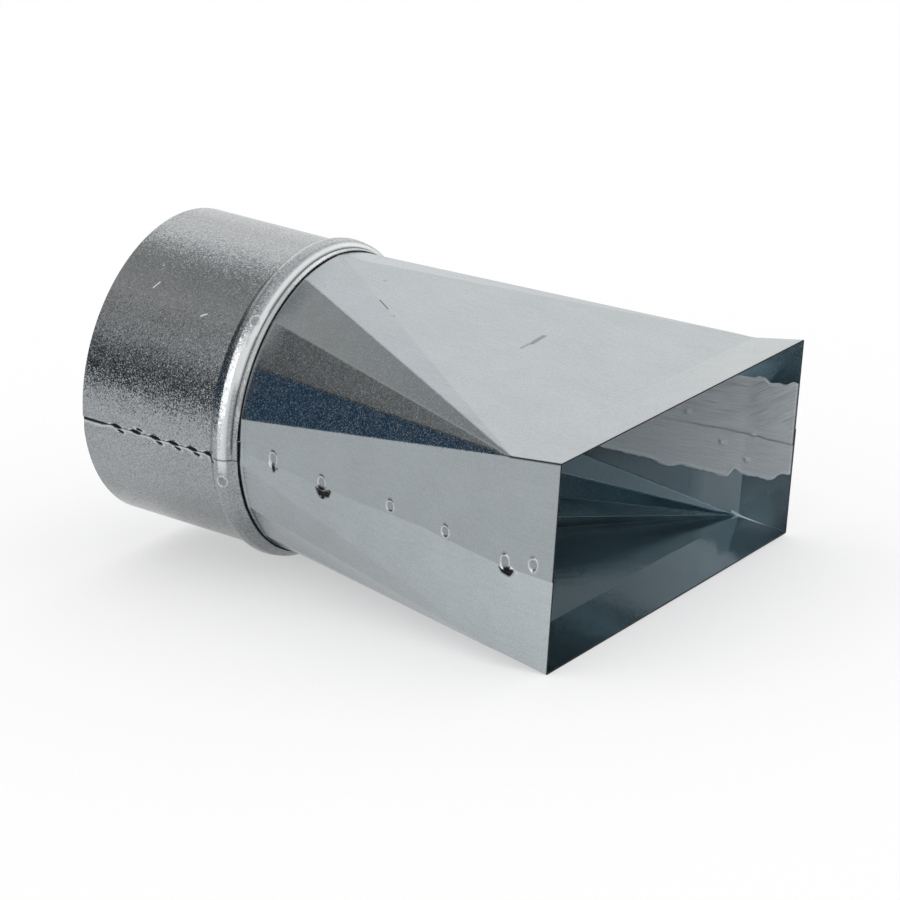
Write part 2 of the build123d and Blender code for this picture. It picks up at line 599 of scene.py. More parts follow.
    def coat(self, board: NodeBoard, place: Socket, cells: bpy.types.Node) -> Socket:
        """Colour of the plain coat, lighter towards the mouth as painted light, darker under it as painted
        shade, in streaks and by spangle.

        Args:
            board: the material's nodes.
            place: object coordinates in millimetres.
            cells: the spangle.

        Returns:
            The colour.
        """
        along, side, up = board.add("ShaderNodeSeparateXYZ", None, Vector=place).outputs
        # Painted light: the coat lightens towards the mouth.
        base = board.mix(board.spread(along, *self.fade), (*self.colour, 1.0), (*self.mouth_colour, 1.0))
        # Painted shade where the sheet faces downwards.
        slope = board.math("DIVIDE", up, board.math("ABSOLUTE", side))
        underside_shade = board.spread(slope, *self.underside_shade_slopes, 1.0, self.underside_shade)
        shade = board.add("ShaderNodeSeparateColor", None, Color=cells.outputs["Color"]).outputs[0]
        own = board.spread(shade, 0.0, 1.0, 1 - self.flake, 1 + self.flake)
        clouds = board.noise(place, self.cloud_scale, self.cloud_detail)
        soft = board.spread(clouds, *self.noise_range, *self.cloud_range)
        rolled = board.noise(board.vector("MULTIPLY", place, self.rolled), 1.0)
        streak_and_painted_light = board.math("MULTIPLY", board.spread(rolled, *self.noise_range, *self.rolled_range), underside_shade)
        return board.scaled(base, board.math("MULTIPLY", streak_and_painted_light, board.math("MULTIPLY", own, soft)))

    def tipped(self, board: NodeBoard, place: Socket, cells: bpy.types.Node) -> Socket:
        """Surface normal with each spangle tipped a little its own way, and a few of them far.

        Args:
            board: the material's nodes.
            place: object coordinates in millimetres.
            cells: the spangle.

        Returns:
            The normal.
        """
        either_way = board.vector("SUBTRACT", cells.outputs["Color"], (0.5, 0.5, 0.5))
        own = board.vector("MULTIPLY", either_way, self.tip_reach)
        calm = board.spread(board.attribute(INSIDE), 0.0, 1.0, 1.0, self.inner_tip)
        reach = board.spread(self.luck(board, cells), 0.0, 1.0, self.usual_tip, self.rare_tip)
        tip = board.math("MULTIPLY", calm, reach)
        plain = board.add("ShaderNodeNewGeometry").outputs["Normal"]
        turned = board.vector("NORMALIZE", board.vector("ADD", plain, board.scaled(own, tip)))
        return board.add("ShaderNodeBump", None, Strength=1.0, Distance=self.dent_depth * MM,
                         Height=board.noise(place, self.dent_scale), Normal=turned).outputs[0]


@dataclass(frozen=True)
class BrushedMastic:
    """Matte grey mastic with the streaks of the brush along the seam, a painted highlight along its edges,
    and black painted shade behind the burn holes and along the lap's crack.
    """

    fold_x: float
    slant: float = 34.0
    slant_level: float = 4.0
    streak_scale: tuple[float, float, float] = (0.06, 0.0, 1.5)
    streak_detail: float = 3.0
    streak_range: Pair = (0.35, 0.65)
    seam_zone: Pair = (-3.0, 6.0)
    below_seam: float = 0.3
    grain_scale: float = 1.1
    grain_detail: float = 4.0
    bristle_tone: float = 0.2
    bristle_ridge: float = 0.6
    ridge_strength: float = 0.8
    ridge_depth: float = 0.35
    tone_range: Pair = (0.1, 0.9)
    roughness: Pair = (0.6, 0.42)
    specular: float = 0.35
    colour: Paint = (0.52, 0.55, 0.57, 1.0)
    pale: Paint = (0.78, 0.81, 0.83, 1.0)
    # Black of painted shade, behind the burnt holes and in the lap's crack.
    black_shade: Paint = (0.006, 0.006, 0.006, 1.0)

    def material(self) -> bpy.types.Material:
        """Make the finish.

        Returns:
            The material.
        """
        made, board = new_material("brushed_mastic")
        place = board.object_mm()
        bristles = self.bristles(board, place)
        grain = board.noise(place, self.grain_scale, self.grain_detail)
        toned = board.math("MULTIPLY", bristles, self.bristle_tone)
        # Brush streaks, with the painted highlight along the band's edges.
        streak_and_painted_light = board.math("ADD", board.attribute(BRUSH_TONE_AND_EDGE_HIGHLIGHT), toned)
        brushed = board.mix(board.spread(streak_and_painted_light, *self.tone_range), self.colour, self.pale)
        ridges = board.math("ADD", board.math("MULTIPLY", bristles, self.bristle_ridge), grain)
        bump = board.add("ShaderNodeBump", None, Strength=self.ridge_strength,
                         Distance=self.ridge_depth * MM, Height=ridges)
        shader = board.add(
            "ShaderNodeBsdfPrincipled", None,
            Base_Color=board.mix(board.attribute(SHADE_AND_GRIME), brushed, self.black_shade),
            Roughness=board.spread(streak_and_painted_light, *self.tone_range, *self.roughness),
            Specular_IOR_Level=self.specular,
            Normal=bump.outputs[0])
        board.add("ShaderNodeOutputMaterial", None, Surface=shader.outputs[0])
        return made

    def bristles(self, board: NodeBoard, place: Socket) -> Socket:
        """Fine noise drawn out along the seam, and slanting above it on the neck.

        Args:
            board: the material's nodes.
            place: object coordinates in millimetres.

        Returns:
            The noise, between about -1 and 1, and weaker below the seam.
        """
        along, side, up = board.add("ShaderNodeSeparateXYZ", None, Vector=place).outputs
        turned = board.add("ShaderNodeVectorRotate", {"rotation_type": "Y_AXIS"}, Vector=place,
                           Angle=math.radians(self.slant)).outputs[0]
        above = board.math("MULTIPLY", up, board.math("SIGN", side))
        on_neck = board.math("MULTIPLY", board.math("GREATER_THAN", along, self.fold_x),
                             board.math("GREATER_THAN", above, self.slant_level))
        run = board.mix(on_neck, place, turned)
        fine = board.noise(board.vector("MULTIPLY", run, self.streak_scale), 1.0, self.streak_detail)
        return board.math("MULTIPLY", board.spread(fine, *self.streak_range, -1.0, 1.0),
                          board.spread(above, *self.seam_zone, self.below_seam, 1.0))


@dataclass(frozen=True)
class SpotWeld:
    """Mark of a welding electrode: a pressed grey disc, a raised rim with a painted highlight, strongest on
    its lit side, and a dark nick above it.
    """

    squash: Pair = (1.12, 0.94)
    disc: float = 1.9
    disc_edge: float = 0.3
    rim: float = 2.6
    rim_width: float = 0.4
    press: float = 0.2
    rise: float = 0.2
    nick: float = 3.7
    nick_width: float = 0.3
    nick_depth: float = 0.25
    nick_bearing: float = -8.0
    nick_spread: float = 20.0
    nick_share: float = 0.5
    nick_darkening: float = 0.75
    margin: float = 1.0
    mottle_scale: float = 1.3
    mottle_depth: float = 0.05
    mottle_layer: float = 5.0
    disc_grime: Pair = (0.16, 0.14)
    groove: float = 0.1
    groove_width: float = 0.25
    groove_darkening: float = 0.22
    # Painted highlight on the raised rim, brighter on its lit side.
    rim_shine: Pair = (0.45, 0.5)
    lit_bearing: float = -130.0
    lit_spread: float = 70.0
    lit_shine: float = 0.3

    @property
    def reach(self) -> float:
        """Distance past which the sheet is plain."""
        return self.nick + self.margin

    def relief(self, across: float, up: float) -> tuple[float, float, float]:
        """Shape, darkening and painted highlight of the mark.

        Args:
            across: distance from its middle along the duct.
            up: distance above its middle.

        Returns:
            Height over the plain sheet, share of darkening and share of painted highlight.
        """
        away = math.hypot(across * self.squash[0], up * self.squash[1])
        bearing = math.degrees(math.atan2(across, up))
        ring = hump(away - self.rim, self.rim_width)
        nick = self.nick_share * hump(away - self.nick, self.nick_width)
        nick *= hump(bearing - self.nick_bearing, self.nick_spread)
        inner = 1 - ramp(away, self.disc - self.disc_edge, self.disc + self.disc_edge)
        groove = hump(away - self.disc - self.groove, self.groove_width)
        mottle = noise.noise(Vector((across * self.mottle_scale, up * self.mottle_scale, self.mottle_layer)))
        height = self.rise * ring - self.press * inner - self.nick_depth * nick
        height += self.mottle_depth * inner * mottle
        shade_and_grime = self.nick_darkening * nick + inner * (self.disc_grime[0] + self.disc_grime[1] * mottle)
        shade_and_grime += self.groove_darkening * groove
        # Painted highlight on the rim, strongest on its lit side.
        lit = self.lit_shine * hump(bearing - self.lit_bearing, self.lit_spread)
        bright = ring * (self.rim_shine[0] + lit + self.rim_shine[1] * mottle)
        return height, min(1.0, max(0.0, shade_and_grime)), min(1.0, max(0.0, bright))


@dataclass(frozen=True)
class SeamStitch:
    """Pressed oval of the collar's lap seam, darkened inside as painted shade, with a painted highlight on
    its raised rim and a short dark tail, painted shade in its dip with a painted highlight round it.
    """

    length: float = 7.0
    height: float = 2.6
    depth: float = 0.9
    drop: float = 0.2
    lean: float = 0.12
    dark: Pair = (0.8, 1.0)
    rim: float = 1.2
    rim_width: float = 0.15
    rim_rise: float = 0.2
    rim_shine: float = 0.7
    tail: float = 0.6
    tail_length: float = 0.65
    tail_height: float = 0.75
    tail_lean: float = 0.35
    tail_depth: float = 0.4
    tail_dark: Pair = (0.7, 1.0)
    tail_rim: float = 1.3
    tail_rim_width: float = 0.2
    tail_shine: float = 0.6


@dataclass
class RoundCollar:
    """Rolled collar with its stitched lap seam, the swaged bead and two spot welds on the bead."""

    sizes: DuctSizes
    spigot_length: float = 75.0
    front_shoulder: Pair = (78.2, 0.35)
    crown_x: float = 80.4
    rear_shoulder: Pair = (83.8, 0.55)
    bead_end: float = 87.0
    roundings: tuple[float, ...] = (0.8, 1.6, 3.0, 1.4, 0.6)
    corner_steps: int = 4
    lip_rows: tuple[float, ...] = (0.3, 0.6)
    flank_rows: tuple[float, ...] = (0.2, 0.4, 0.7)
    row_pitch: float = 2.5
    turn_steps: int = 240
    fine_cuts: int = 5
    seam_angle: float = 97.3
    seam_zone: Pair = (-4.5, 9.0)
    seam_edge: Pair = (-0.05, 0.3)
    seam_ramp: Pair = (1.0, 8.0)
    gaping_end: Pair = (10.0, 17.0)
    # Painted shadow under the seam's step, wider where the seam gapes at the open end, and a painted
    # highlight (glint) below it.
    shadow_start: Pair = (-0.3, 0.0)
    shadow_end: Pair = (0.4, 0.9)
    gape_shadow: Pair = (0.9, 1.0)
    glint: float = 1.2
    gape_glint: float = 1.2
    glint_width: float = 0.45
    glint_shine: float = 0.5
    bead_fade: float = 1.0
    bead_closes: float = 0.6
    bead_shadow: float = 0.3
    stitch: SeamStitch = SeamStitch()
    stitch_places: tuple[float, ...] = (19.8, 31.3, 42.6, 53.4, 64.4, 74.2)
    tail_levels: tuple[float, ...] = (2.2, -1.9, 2.2, 2.2, 2.2, 2.2)
    welds: Knots = ((83.8, 46.4), (82.4, 105.8))
    weld_zone: float = 6.0
    # Painted shade in the crease at the root behind the bead.
    root_line: float = 86.9
    root_width: float = 0.3
    root_shade_strength: float = 0.85
    root_arc: Pair = (-80.0, 100.0)
    arc_fade: Pair = (10.0, 8.0)
    # Painted highlights on the bead's crown, rear flank, front shoulder and lip; towards the top the crown's
    # is broken by a rub noise.
    crown_half: float = 0.5
    crown_start: Pair = (0.1, 0.9)
    crown_shine: float = 0.85
    bright_crown: Pair = (46.0, 106.0)
    scuffed_end: Pair = (54.0, 60.0)
    rub: Pair = (0.6, 0.9)
    rub_scale: float = 1.4
    flank: Pair = (84.3, 85.2)
    flank_shine: float = 0.9
    bright_flank: Pair = (-60.0, 74.0)
    lip_fade: float = 1.0
    lip_shine: float = 0.75
    bright_lip: Pair = (-60.0, 88.0)
    shoulder_width: float = 0.6
    shoulder_shine: float = 0.5
    bright_shoulder: Pair = (-60.0, 48.0)

    def build(self, material: bpy.types.Material) -> bpy.types.Object:
        """Spin the profile, mark the seam and the welds and write the piece.

        Args:
            material: the collar's finish.

        Returns:
            The piece.
        """
        bm = bmesh.new()
        line = [bm.verts.new(point) for point in self.profile()]
        edges = [bm.edges.new(pair) for pair in zip(line, line[1:])]
        turn = Matrix.Rotation(math.radians(self.seam_angle), 3, "X")
        bmesh.ops.rotate(bm, verts=line, cent=(0, 0, 0), matrix=turn)
        bmesh.ops.spin(bm, geom=line + edges, cent=(0, 0, 0), axis=(1, 0, 0), angle=math.tau,
                       steps=self.turn_steps, use_merge=True)
        bmesh.ops.remove_doubles(bm, verts=bm.verts, dist=MERGE_REACH)
        self.refine(bm)
        self.mark(bm)
        bmesh.ops.recalc_face_normals(bm, faces=bm.faces)
        add_wall(bm, self.sizes.sheet, self.sizes.collar_length)
        piece = write_piece(bm, "collar_skin", material)
        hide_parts("round_collar")
        return piece

    def profile(self) -> list[Vector]:
        """Outer line of the collar in the XZ plane.

        Returns:
            The line's points from the open end to the lip.
        """
        sizes = self.sizes
        rows = round(self.spigot_length / self.row_pitch)
        plain = [Vector((self.spigot_length * row / rows, 0.0, sizes.spigot_radius)) for row in range(rows)]
        bead = [
            (plain[-1].x, sizes.spigot_radius),
            (self.spigot_length, sizes.spigot_radius),
            (self.front_shoulder[0], sizes.crown_radius - self.front_shoulder[1]),
            (self.crown_x, sizes.crown_radius),
            (self.rear_shoulder[0], sizes.crown_radius - self.rear_shoulder[1]),
            (self.bead_end, sizes.lip_radius),
            (sizes.collar_length, sizes.lip_radius),
        ]
        line = rounded_line(bead, self.roundings, self.corner_steps)
        line[-1:-1] = [line[-2].lerp(line[-1], share) for share in self.lip_rows]
        root = 1 + (len(self.roundings) - 1) * (self.corner_steps + 1)
        line[root:root] = [line[root - 1].lerp(line[root], share) for share in self.flank_rows]
        return plain[:-1] + line

    def past(self, point: Vector, angle: float) -> float:
        """Distance round the collar from an angle, positive towards its lower near side."""
        return math.radians((angle_of(point) - angle + 180) % 360 - 180) * self.sizes.spigot_radius

    def is_marked(self, point: Vector) -> bool:
        """Whether a place lies beside the seam or on a weld.

        Args:
            point: a place on the collar.

        Returns:
            True where the skin needs fine faces.
        """
        low, high = self.seam_zone
        if low < self.past(point, self.seam_angle) < high:
            return True
        spans = [(point.x - x, self.past(point, angle)) for x, angle in self.welds]
        return any(max(abs(across), abs(up)) < self.weld_zone for across, up in spans)

    def refine(self, bm: bmesh.types.BMesh) -> None:
        """Divide the faces beside the seam and on the welds finely.

        Args:
            bm: the collar's skin.
        """
        marked = [face for face in bm.faces if self.is_marked(face.calc_center_median())]
        edges = list({edge for face in marked for edge in face.edges})
        bmesh.ops.subdivide_edges(bm, edges=edges, cuts=self.fine_cuts, use_grid_fill=True)

    def mark(self, bm: bmesh.types.BMesh) -> None:
        """Sink the lower end under the upper one, press in stitches and welds, and note painted shade with
        the welds' grime, and painted highlights.

        Args:
            bm: the collar's skin.
        """
        shade_and_grime = bm.verts.layers.float.new(SHADE_AND_GRIME)
        highlight_and_scratch = bm.verts.layers.float.new(HIGHLIGHT_AND_SCRATCH)
        low, high = self.seam_zone
        weld = SpotWeld()
        for vert in bm.verts:
            radius = math.hypot(vert.co.y, vert.co.z)
            height, darkening, bright = 0.0, self.bead_root_shade(vert.co), self.bead_highlights(vert.co)
            past = self.past(vert.co, self.seam_angle)
            if low < past < high:
                height, mark_darkening, shine = self.seam_relief(vert.co.x, past)
                darkening, bright = max(darkening, mark_darkening), max(bright, shine)
            for x, angle in self.welds:
                across, up = vert.co.x - x, -self.past(vert.co, angle)
                if math.hypot(across, up) < weld.reach:
                    rise, mark_darkening, shine = weld.relief(across, up)
                    height, darkening, bright = height + rise, max(darkening, mark_darkening), max(bright, shine)
            # Painted shade with weld grime, and painted highlights, into the mesh's attributes.
            vert[shade_and_grime], vert[highlight_and_scratch] = darkening, bright
            vert.co.yz = vert.co.yz * ((radius + height) / radius)

    def on_arc(self, angle: float, arc: Pair) -> float:
        """Share of an arc at an angle, soft at both ends."""
        first, last = self.arc_fade
        return ramp(angle, arc[0], arc[0] + first) * (1 - ramp(angle, arc[1] - last, arc[1]))

    def bead_root_shade(self, point: Vector) -> float:
        """Share of painted shade in the crease at the root behind the bead."""
        in_root = hump(point.x - self.root_line, self.root_width)
        return self.root_shade_strength * in_root * self.on_arc(angle_of(point), self.root_arc)

    def bead_highlights(self, point: Vector) -> float:
        """Share of painted highlight on the bead's shoulder, its mouth's side and the lip.

        Args:
            point: a place on the collar.

        Returns:
            The share there.
        """
        angle = angle_of(point)
        if point.x > self.root_line:
            on_lip = ramp(point.x, self.root_line, self.root_line + self.lip_fade)
            return self.lip_shine * self.on_arc(angle, self.bright_lip) * on_lip
        if point.x < self.crown_x - self.crown_half:
            on_shoulder = hump(point.x - self.front_shoulder[0], self.shoulder_width)
            return self.shoulder_shine * on_shoulder * self.on_arc(angle, self.bright_shoulder)
        rub = self.rub[0] + self.rub[1] * noise.noise(point * self.rub_scale)
        scuffed = 1 - ramp(angle, *self.scuffed_end)
        start, full = (self.crown_x + step for step in self.crown_start)
        crown = self.on_arc(angle, self.bright_crown) * ramp(point.x, start, full)
        crown *= min(1.0, max(0.0, self.crown_shine + scuffed * (rub - self.crown_shine)))
        on_flank = ramp(point.x, *self.flank)
        flank = self.flank_shine * on_flank * self.on_arc(angle, self.bright_flank)
        return crown * (1 - on_flank) + flank

    def seam_relief(self, x: float, past: float) -> tuple[float, float, float]:
        """Shape, painted shadow and painted highlights beside the seam.

        Args:
            x: place along the collar.
            past: distance round the collar below the seam's edge.

        Returns:
            Height over the plain surface, share of painted shade and share of painted highlight.
        """
        stitch = self.stitch
        on_bead = ramp(x, self.spigot_length - self.bead_fade, self.spigot_length + self.bead_fade)
        step = self.sizes.sheet * (1 - self.bead_closes * on_bead)
        height = -step * ramp(past, *self.seam_edge) * (1 - ramp(past, *self.seam_ramp))
        gape = 1 - ramp(x, *self.gaping_end)
        shadow_end = [end + more * gape for end, more in zip(self.shadow_end, self.gape_shadow)]
        shadow = ramp(past, *self.shadow_start) * (1 - ramp(past, *shadow_end))
        # Painted shadow under the upper end's edge, fainter on the bead.
        darkening = shadow * (1 - self.bead_shadow * on_bead)
        # Painted highlight below the seam, off the bead.
        glint = hump(past - self.glint - self.gape_glint * gape, self.glint_width)
        bright = self.glint_shine * glint * (1 - on_bead)
        # Each stitch: painted shade in its pit and in its tail's dip, and painted highlights on their rims.
        for place, tail_level in zip(self.stitch_places, self.tail_levels):
            along = (x - place) / (stitch.length / 2)
            across = (past - stitch.drop - stitch.lean * along) / (stitch.height / 2)
            away = math.hypot(along, across)
            if away < 1:
                height = min(height, -stitch.depth * math.sqrt(1 - away * away))
                darkening = max(darkening, 1 - ramp(away, *stitch.dark))
            rim = hump(away - stitch.rim, stitch.rim_width)
            height += stitch.rim_rise * rim
            bright = max(bright, stitch.rim_shine * rim)
            below = (past - tail_level - stitch.tail_lean * along) / stitch.tail_height
            tail = math.hypot((along - stitch.tail) / stitch.tail_length, below)
            if tail < 1:
                height -= stitch.tail_depth * math.sqrt(1 - tail * tail)
                darkening = max(darkening, 1 - ramp(tail, *stitch.tail_dark))
            tail_rim = hump(tail - stitch.tail_rim, stitch.tail_rim_width)
            bright = max(bright, stitch.tail_shine * tail_rim * (1 - on_bead))
        return height, min(1.0, darkening), bright


@dataclass(frozen=True)
class Scorch:
    """Trace of a burnt weld at the lap's edge: a painted highlight on the lip, ragged soot with the painted
    shadow of the gap under the lip, and a sagging tongue of sheet.
    """

    # Painted highlight on the lip of the lifted edge.
    lip_glint: Pair = (-1.6, -2.6)
    lip_glint_width: float = 1.5
    lip_glint_range: Pair = (0.3, 0.7)
    lip_glint_shine: float = 0.9
    raggedness: float = 0.9
    ragged_scale: float = 0.9
    # Soot, with the painted shadow of the gap under the lifted edge.
    soot_shade_levels: Pair = (1.5, 0.7)
    soot_shade_fade: Pair = (0.7, 1.1)
    sag: float = 1.6
    sag_width: float = 2.6
    curl: float = 0.25
    curl_width: float = 3.0
    curl_start: float = 2.5

    def shine(self, across: float, up: float) -> float:
        """Share of the painted highlight on the lip at a distance along the duct and up from the weld."""
        away = math.hypot(across - self.lip_glint[0], up - self.lip_glint[1])
        return self.lip_glint_shine * ramp(hump(away, self.lip_glint_width), *self.lip_glint_range)

    def soot_and_shade(self, point: Vector, from_spot: float, width: float, edge: float) -> float:
        """Share of soot and painted shadow on the lap.

        Args:
            point: a place on the lap.
            from_spot: distance of the place along the duct from the middle of the soot.
            width: half width of the soot.
            edge: how far below the seam's middle the lap ends.

        Returns:
            The share there.
        """
        low, full = (edge - level for level in self.soot_shade_levels)
        grain = Vector((point.x * self.ragged_scale, 0.0, point.z * self.ragged_scale))
        ragged = abs(from_spot) + self.raggedness * noise.noise(grain)
        sides = 1 - ramp(ragged, width * self.soot_shade_fade[0], width * self.soot_shade_fade[1])
        return ramp(-point.z, low, full) * sides


@dataclass
class FoldedHalf:
    """One folded half of the transition: a fan of flat facets at each corner, side laps and the neck."""

    sizes: DuctSizes
    half: Half
    outer_tab: float = 4.5
    inner_tab: float = 2.5
    butt: float = 0.2
    strip_cell: float = 0.4
    strip_rows: int = 33
    strip_margin: float = 0.1
    along_reach: float = 1.0
    least_fold: float = math.radians(2)
    crease_width: float = 0.8
    crease_steps: int = 2
    tip_merge: float = 0.2
    ring_cuts: int = 5
    ring_row: float = 5.0
    ring_margin: float = 0.5
    lip_line: tuple[tuple[float, float, float], ...] = (
        (90.7, 0.1, 0.0), (90.3, 0.2, 0.0), (89.0, 0.5, 0.0),
        (86.7, 1.0, 0.0), (83.4, 1.0, 3.05), (81.0, 1.0, 3.35))
    lip_shade: float = 90.5
    far_lift: float = 1.3
    round_share: float = 0.06
    ring_bulge: float = 0.75
    bulge_levels: Pair = (8.0, 12.0)
    cut_edge: float = 0.35
    lap_start: float = 1.0
    lap_knots: Knots = (
        (92.0, 0.0), (150.0, -0.2), (191.0, 0.8), (206.0, 1.4), (225.0, 0.3), (253.0, -0.4), (279.0, -0.9))
    welds: Knots = (
        (112.2, -1.1), (144.1, -2.7), (187.5, -0.2), (221.5, -0.9), (257.2, -2.5), (271.9, -0.2))
    burnt_welds: tuple[int, ...] = (0, 1, 4)
    scorch: Scorch = Scorch()
    soot_shade_spots: Knots = ((0.5, 0.9), (0.4, 2.3), (1.3, 1.6))
    burn_shapes: tuple[Knots, ...] = (
        ((-0.4, -3.0), (0.6, -2.6), (1.9, -2.6), (1.9, -3.6), (1.4, -3.9), (0.9, -3.7), (0.5, -5.1),
         (-0.1, -5.4), (-0.5, -4.4)),
        ((-3.2, -3.0), (-1.2, -3.4), (0.6, -3.6), (2.4, -2.8), (3.9, -1.6), (4.2, -2.6), (3.4, -4.6),
         (2.2, -5.0), (1.5, -4.8), (0.8, -6.4), (0.0, -7.4), (-0.7, -6.0), (-2.2, -4.8)),
        ((-2.7, -3.2), (-1.0, -3.4), (0.6, -3.2), (2.2, -2.6), (3.4, -2.3), (3.3, -3.4), (2.4, -4.8),
         (1.6, -5.2), (0.2, -4.8), (-1.4, -4.5)),
    )
    burn_spread: float = 1.25
    burn_zone: float = 12.0
    burn_soot: float = 0.8
    burn_fade: float = 0.5

    def build(self, material: bpy.types.Material) -> bpy.types.Object:
        """Fold the half, mark its laps and write the piece.

        Args:
            material: the half's finish.

        Returns:
            The piece.
        """
        bm = bmesh.new()
        self.fold_walls(bm)
        bmesh.ops.recalc_face_normals(bm, faces=bm.faces)
        self.round_creases(bm)
        self.divide_strips(bm)
        self.trim_mouth(bm)
        self.roll_lip(bm)
        bmesh.ops.remove_doubles(bm, verts=bm.verts, dist=MERGE_REACH)
        self.mark_lap(bm)
        if self.half is Half.LOWER:
            self.burn_holes(bm)
        bmesh.ops.recalc_face_normals(bm, faces=bm.faces)
        if max(bm.faces, key=lambda face: face.calc_area()).normal.z < 0:
            bmesh.ops.reverse_faces(bm, faces=bm.faces)
        add_wall(bm, self.sizes.sheet, self.sizes.mouth_x)
        if self.half is Half.LOWER:
            bmesh.ops.rotate(bm, verts=bm.verts, cent=(0, 0, 0), matrix=HALF_TURN)
        piece = write_piece(bm, f"{self.half.name.lower()}_folded_sheet", material)
        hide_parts(self.half.value)
        return piece

    def strip_levels(self, tab: float) -> tuple[float, float]:
        """Heights of the lower and upper edge of a lap's finely divided strip."""
        return -tab, -tab + self.strip_rows * self.strip_cell

    def runs_along(self, edge: bmesh.types.BMEdge) -> bool:
        """Whether an edge runs along the duct rather than across it."""
        return abs(edge.verts[0].co.x - edge.verts[1].co.x) > self.along_reach

    def mouth_spring(self, sign: int) -> float:
        """Rise of a mouth corner: the far ones stand high, and the lower half is made upside down."""
        is_far = sign == (1 if self.half is Half.UPPER else -1)
        return sign * self.far_lift * is_far

    def fold_walls(self, bm: bmesh.types.BMesh) -> None:
        """Make the flat faces: the top, the corner fans, the side walls and the neck.

        Args:
            bm: the empty mesh.
        """
        sizes = self.sizes
        shift = -sizes.half_shift
        apex = bm.verts.new(ring_point(sizes.ring_x, sizes.crease_radius, 0.0, shift))
        corners = []
        tops = []
        for sign, tab in ((-1, self.outer_tab), (1, self.inner_tab)):
            fold = bm.verts.new((sizes.fold_x, shift + sign * sizes.fold_half_width, sizes.fold_half_height))
            mouth = bm.verts.new((sizes.mouth_x, shift + sign * sizes.mouth_half_width,
                                  sizes.mouth_half_height + self.mouth_spring(sign)))
            corners.append((fold, mouth))
            tips = [apex]
            for angle in sizes.crease_angles[1:]:
                tip = ring_point(sizes.ring_x, sizes.crease_radius, -sign * angle, shift)
                tips.append(bm.verts.new(tip))
            ends = [bm.verts.new(tip.co.lerp(fold.co, self.round_share)) for tip in tips]
            for first, second, after, before in zip(tips, tips[1:], ends[1:], ends):
                bm.faces.new((first, second, after, before))
                bm.faces.new((before, after, fold))
            tops.append(ends[0])
            columns = [
                [top] + [bm.verts.new((*top.co.xy, z)) for z in reversed(self.strip_levels(tab))]
                for top in (tips[-1], fold, mouth)
            ]
            for first, second in zip(columns, columns[1:]):
                for row in range(2):
                    crease = ends[-1:] if first[row] is tips[-1] else []
                    bm.faces.new((first[row], first[row + 1], second[row + 1], second[row], *crease))
        (near_fold, near_mouth), (far_fold, far_mouth) = corners
        bm.faces.new((apex, tops[0], near_fold, far_fold, tops[1]))
        bm.faces.new((near_fold, near_mouth, far_mouth, far_fold))

    def round_creases(self, bm: bmesh.types.BMesh) -> None:
        """Round the fold lines of the fans, the top and the neck's corners.

        Args:
            bm: the flat faces.
        """
        sizes = self.sizes
        corners = {
            vert for vert in bm.verts
            if abs(vert.co.x - sizes.fold_x) < SAME_PLACE
            and abs(vert.co.z - sizes.fold_half_height) < SAME_PLACE
        }
        folds = [
            edge for edge in bm.edges
            if edge.calc_face_angle(0.0) > self.least_fold
            and (self.runs_along(edge) or corners >= set(edge.verts))
        ]
        bmesh.ops.bevel(bm, geom=folds, offset=self.crease_width, offset_type="OFFSET",
                        segments=self.crease_steps, profile=0.5, affect="EDGES", material=-1,
                        clamp_overlap=True)
        tips = [vert for vert in bm.verts if vert.co.x < sizes.ring_x + SAME_PLACE]
        for vert in tips:
            vert.co.x = sizes.ring_x
        bmesh.ops.remove_doubles(bm, verts=tips, dist=self.tip_merge)

    def trim_mouth(self, bm: bmesh.types.BMesh) -> None:
        """Set a narrow border along the mouth's cut edge.

        Args:
            bm: the folded faces.
        """
        start = self.sizes.mouth_x - SAME_PLACE
        rim = [edge for edge in bm.edges if all(vert.co.x > start for vert in edge.verts)]
        grown = bmesh.ops.extrude_edge_only(bm, edges=rim)["geom"]
        new = {item for item in grown if isinstance(item, bmesh.types.BMVert)}
        for vert in {vert for edge in rim for vert in edge.verts} - new:
            vert.co.x -= self.cut_edge

    def divide_strips(self, bm: bmesh.types.BMesh) -> None:
        """Divide the strip beside each lap into small cells.

        Args:
            bm: the folded faces.
        """
        for sign, tab in ((-1, self.outer_tab), (1, self.inner_tab)):
            low, high = self.strip_levels(tab)
            strips = [
                face for face in bm.faces
                if all(vert.co.y * sign > 0 and low - SAME_PLACE < vert.co.z < high + SAME_PLACE
                       for vert in face.verts)
            ]
            for strip in strips:
                lengths = [edge for edge in strip.edges if self.runs_along(edge)]
                cuts = round(lengths[0].calc_length() / self.strip_cell) - 1
                bmesh.ops.subdivide_edges(bm, edges=lengths, cuts=cuts, use_grid_fill=True)
            cross = [
                edge for edge in bm.edges
                if edge.verts[0].co.y * sign > 0
                and sorted(round(vert.co.z - low, 2) for vert in edge.verts) == [0.0, round(high - low, 2)]
            ]
            bmesh.ops.subdivide_edges(bm, edges=cross, cuts=self.strip_rows - 1, use_grid_fill=True)

